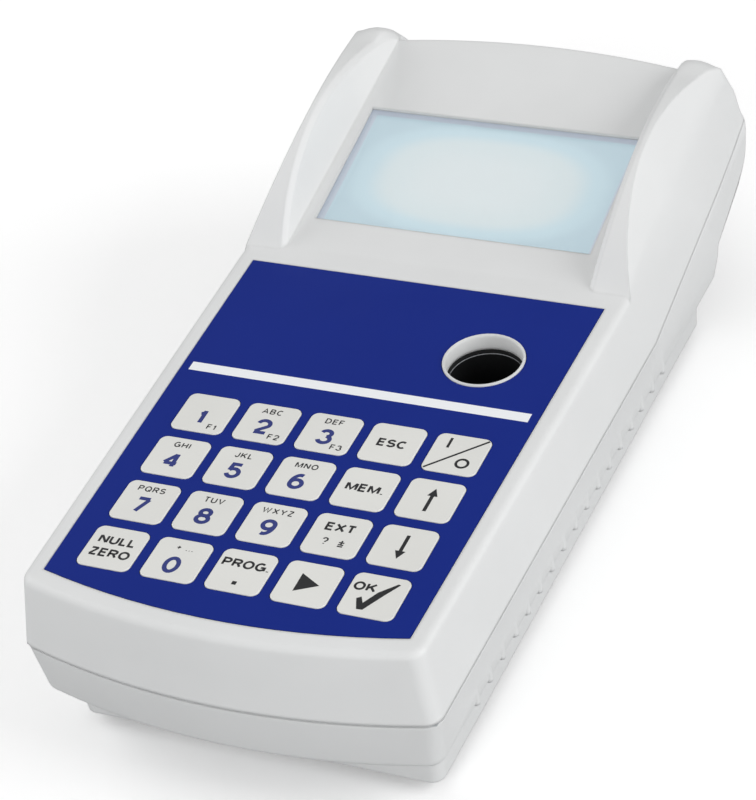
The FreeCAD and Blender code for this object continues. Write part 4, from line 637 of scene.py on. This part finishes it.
for axis, half in (("X", BORDER_ACROSS), ("Y", BORDER_ALONG)):
    size = add(tree, "ShaderNodeMath", {"operation": "ABSOLUTE"}, {0: lobes.outputs[axis]})
    edge.append(add(tree, "ShaderNodeMath", {"operation": "GREATER_THAN"}, {0: size.outputs[0], 1: half}))
outside = add(tree, "ShaderNodeMath", {"operation": "MAXIMUM"}, {
    0: edge[0].outputs[0], 1: edge[1].outputs[0],
})
# Painted glow: the emitted colour of the cell, pale in the middle and bluish grey at the border.
lit = add(tree, "ShaderNodeMix", {"data_type": "RGBA"}, {
    "Factor": outside.outputs[0], 6: tone.outputs["Color"], 7: linear("#bfc4d2"),
})
shader.inputs["Base Color"].default_value = linear("#8f9a9c")
tree.links.new(lit.outputs[2], shader.inputs["Emission Color"])
shader.inputs["Emission Strength"].default_value = 0.62
dress(cell, "lcd_glass")
milky = moulded("polycarbonate_opal", "#dfe6ee", "#d6dee8", 0.0008, 0.000005, 0.4, 1.58)
dress(milky, "backlight_panel")

# Circuit boards: glass epoxy under green solder mask, with black moulded chips and a flat grey
# ribbon between the boards. Zinc plated screws hold them to the posts, and the motor, the axle
# and the other steel pieces inside have the same finish.
mask = moulded("solder_mask_green", "#1d5a35", "#164a2a", 0.0012, 0.00001, 0.35, 1.5)
dress(mask, "main_board", "display_board", "detector_board")
epoxy = moulded("epoxy_moulded_black", "#202124", "#191a1c", 0.0004, 0.00001, 0.5, 1.55)
dress(epoxy, "board_components", "power_socket")
flat_cable = moulded("pvc_ribbon_grey", "#b9bcbe", "#a6a9ab", 0.0013, 0.00002, 0.45, 1.52)
dress(flat_cable, "display_ribbon")
zinc = metal("zinc_plated_steel", "#a4a6a8", "#8e9092", 0.0006, 0.000004, 0.32)
dress(zinc, "board_screws", "display_screws", "housing_screws", "photodiode", "wheel_axle",
      "wheel_motor", "motor_shaft", "data_port")

# Light path: a turned aluminium tube holds the lamp and the glass lens that makes the beam
# parallel. The lamp's brass base closes the far end.
turned = metal("aluminium_turned", "#c4c6c8", "#b3b5b7", 0.0003, 0.000004, 0.3)
dress(turned, "lamp_housing")
brass = metal("brass_turned", "#c9a95c", "#b8984d", 0.0004, 0.000004, 0.27)
dress(brass, "lamp_base", "motor_pinion")
GLASS_STREAK = 0.0033
glass, tree, shader, place = start_material("crown_glass_polished", 0.02, 1.52)
shader.inputs["Transmission Weight"].default_value = 1.0
streak = add(tree, "ShaderNodeTexNoise", (), {"Vector": place, "Scale": 1 / GLASS_STREAK})
haze = add(tree, "ShaderNodeMapRange", (), {"Value": streak.outputs["Fac"], "To Min": 0.01, "To Max": 0.04})
tree.links.new(haze.outputs["Result"], shader.inputs["Roughness"])
dress(glass, "collimating_lens", "lamp_bulb")

# Filter wheel: black acetal disc with a toothed rim and seven coloured glass filters, each of
# its own colour round the wheel. It turns on a steel axle, driven by the brass pinion.
acetal = moulded("acetal_moulded_black", "#1a1b1d", "#141517", 0.0005, 0.00001, 0.4, 1.48)
smooth_copy("filter_wheel", "filter_disc", "filter_disc", "optics_plastic", acetal, 30.0)
tinted, tree, shader, place = start_material("coloured_glass_polished", 0.03, 1.52)
shader.inputs["Transmission Weight"].default_value = 0.7
low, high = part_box("colour_filters")
hub = (low + high) / 2
arm = add(tree, "ShaderNodeVectorMath", {"operation": "SUBTRACT"}, {0: place, 1: tuple(hub)})
sides = add(tree, "ShaderNodeSeparateXYZ", (), {"Vector": arm.outputs[0]})
turn = add(tree, "ShaderNodeMath", {"operation": "ARCTAN2"}, {0: sides.outputs["Z"], 1: sides.outputs["X"]})
share = add(tree, "ShaderNodeMapRange", (), {
    "Value": turn.outputs[0], "From Min": -math.pi, "From Max": math.pi,
})
hue = add(tree, "ShaderNodeCombineColor", {"mode": "HSV"}, {0: share.outputs["Result"], 1: 0.75, 2: 0.8})
tree.links.new(hue.outputs["Color"], shader.inputs["Base Color"])
dress(tinted, "colour_filters")

# Batteries: four alkaline AA cells in dark sleeves, two each way round, held between sprung
# steel contacts above the sliding door.
sleeve = moulded("pvc_sleeve_dark", "#33363a", "#2b2e32", 0.0009, 0.00001, 0.3, 1.52)
smooth_copy("batteries", "aa_cells", "housing", "cell_wrapper", sleeve, 40.0)

# Studio: a pale seamless floor, which is clear from below, three large soft lights, and a white
# surround that the camera and clear parts see. The floor fades to plain white far away.
FLOOR_REACH, FADE_START, FADE_END = 6.0, 0.45, 0.9
floor_mesh = bpy.data.meshes.new("floor")
floor_corners = [(across * FLOOR_REACH, along * FLOOR_REACH, 0)
                 for across, along in ((-1, -1), (1, -1), (1, 1), (-1, 1))]
floor_mesh.from_pydata(floor_corners, [], [(0, 1, 2, 3)])
floor = bpy.data.objects.new("floor", floor_mesh)
bpy.context.scene.collection.objects.link(floor)
paper = bpy.data.materials.new("paper_seamless_white")
paper.use_nodes = True
tree = paper.node_tree
shader = tree.nodes["Principled BSDF"]
seen = add(tree, "ShaderNodeLightPath").outputs["Is Camera Ray"]
sweep = add(tree, "ShaderNodeMix", {"data_type": "RGBA"}, {
    "Factor": seen, 6: linear("#a8a9aa"), 7: linear("#ffffff"),
})
tree.links.new(sweep.outputs[2], shader.inputs["Base Color"])
shader.inputs["Roughness"].default_value = 0.9
shader.inputs["Emission Color"].default_value = linear("#ffffff")
where = add(tree, "ShaderNodeTexCoord").outputs["Object"]
away = add(tree, "ShaderNodeVectorMath", {"operation": "LENGTH"}, {0: where})
level = add(tree, "ShaderNodeMapRange", (), {
    "Value": away.outputs["Value"], "From Min": FADE_START, "From Max": FADE_END,
    "To Min": 0.16, "To Max": 1.0,
})
lift = add(tree, "ShaderNodeMath", {"operation": "MULTIPLY"}, {0: seen, 1: level.outputs[0]})
tree.links.new(lift.outputs[0], shader.inputs["Emission Strength"])
below = add(tree, "ShaderNodeNewGeometry").outputs["Backfacing"]
clear = add(tree, "ShaderNodeBsdfTransparent").outputs[0]
one_sided = add(tree, "ShaderNodeMixShader", (), {0: below, 1: shader.outputs[0], 2: clear})
tree.links.new(one_sided.outputs[0], tree.nodes["Material Output"].inputs["Surface"])
floor_mesh.materials.append(paper)

world = bpy.data.worlds.new("surround")
bpy.context.scene.world = world
world.use_nodes = True
tree = world.node_tree
tree.nodes.clear()
path = add(tree, "ShaderNodeLightPath")
seen = add(tree, "ShaderNodeMath", {"operation": "MAXIMUM"}, {
    0: path.outputs["Is Camera Ray"], 1: path.outputs["Is Transmission Ray"],
})
soft = add(tree, "ShaderNodeBackground", (), {"Color": linear("#ffffff"), "Strength": 0.45})
white = add(tree, "ShaderNodeBackground", (), {"Color": linear("#ffffff"), "Strength": 1.0})
mixed = add(tree, "ShaderNodeMixShader", (), {0: seen.outputs[0], 1: soft.outputs[0], 2: white.outputs[0]})
add(tree, "ShaderNodeOutputWorld", (), {"Surface": mixed.outputs[0]})


def soft_light(name, spot, target, size, power):
    """A square area light aimed at a point."""
    lamp = bpy.data.lights.new(name, "AREA")
    lamp.shape, lamp.size, lamp.energy = "SQUARE", size, power
    holder = bpy.data.objects.new(name, lamp)
    bpy.context.scene.collection.objects.link(holder)
    holder.location = spot
    holder.rotation_euler = (Vector(target) - Vector(spot)).to_track_quat("-Z", "Y").to_euler()


soft_light("right_light", (1.1, 0.15, 0.55), (0, 0, 0.03), 0.9, 9.4)
soft_light("left_light", (-1.1, 0.1, 0.6), (0, 0, 0.03), 0.9, 5.5)
soft_light("front_light", (0.1, -1.2, 0.5), (0, 0, 0.03), 0.9, 5.6)

# Camera: placed where the photograph was taken from, high over the front right corner, with a
# long lens. Its place is in metres and its turn in degrees.
camera_data = bpy.data.cameras.new("camera")
camera_data.sensor_width = 36.0
camera_data.lens = 131.6
camera = bpy.data.objects.new("camera", camera_data)
bpy.context.scene.collection.objects.link(camera)
camera.location = (0.2454, -0.46277, 0.43364)
camera.rotation_euler = [math.radians(turn) for turn in (51.553, 7.705, 22.750)]
bpy.context.scene.camera = camera
bpy.context.scene.view_settings.view_transform = "Standard"
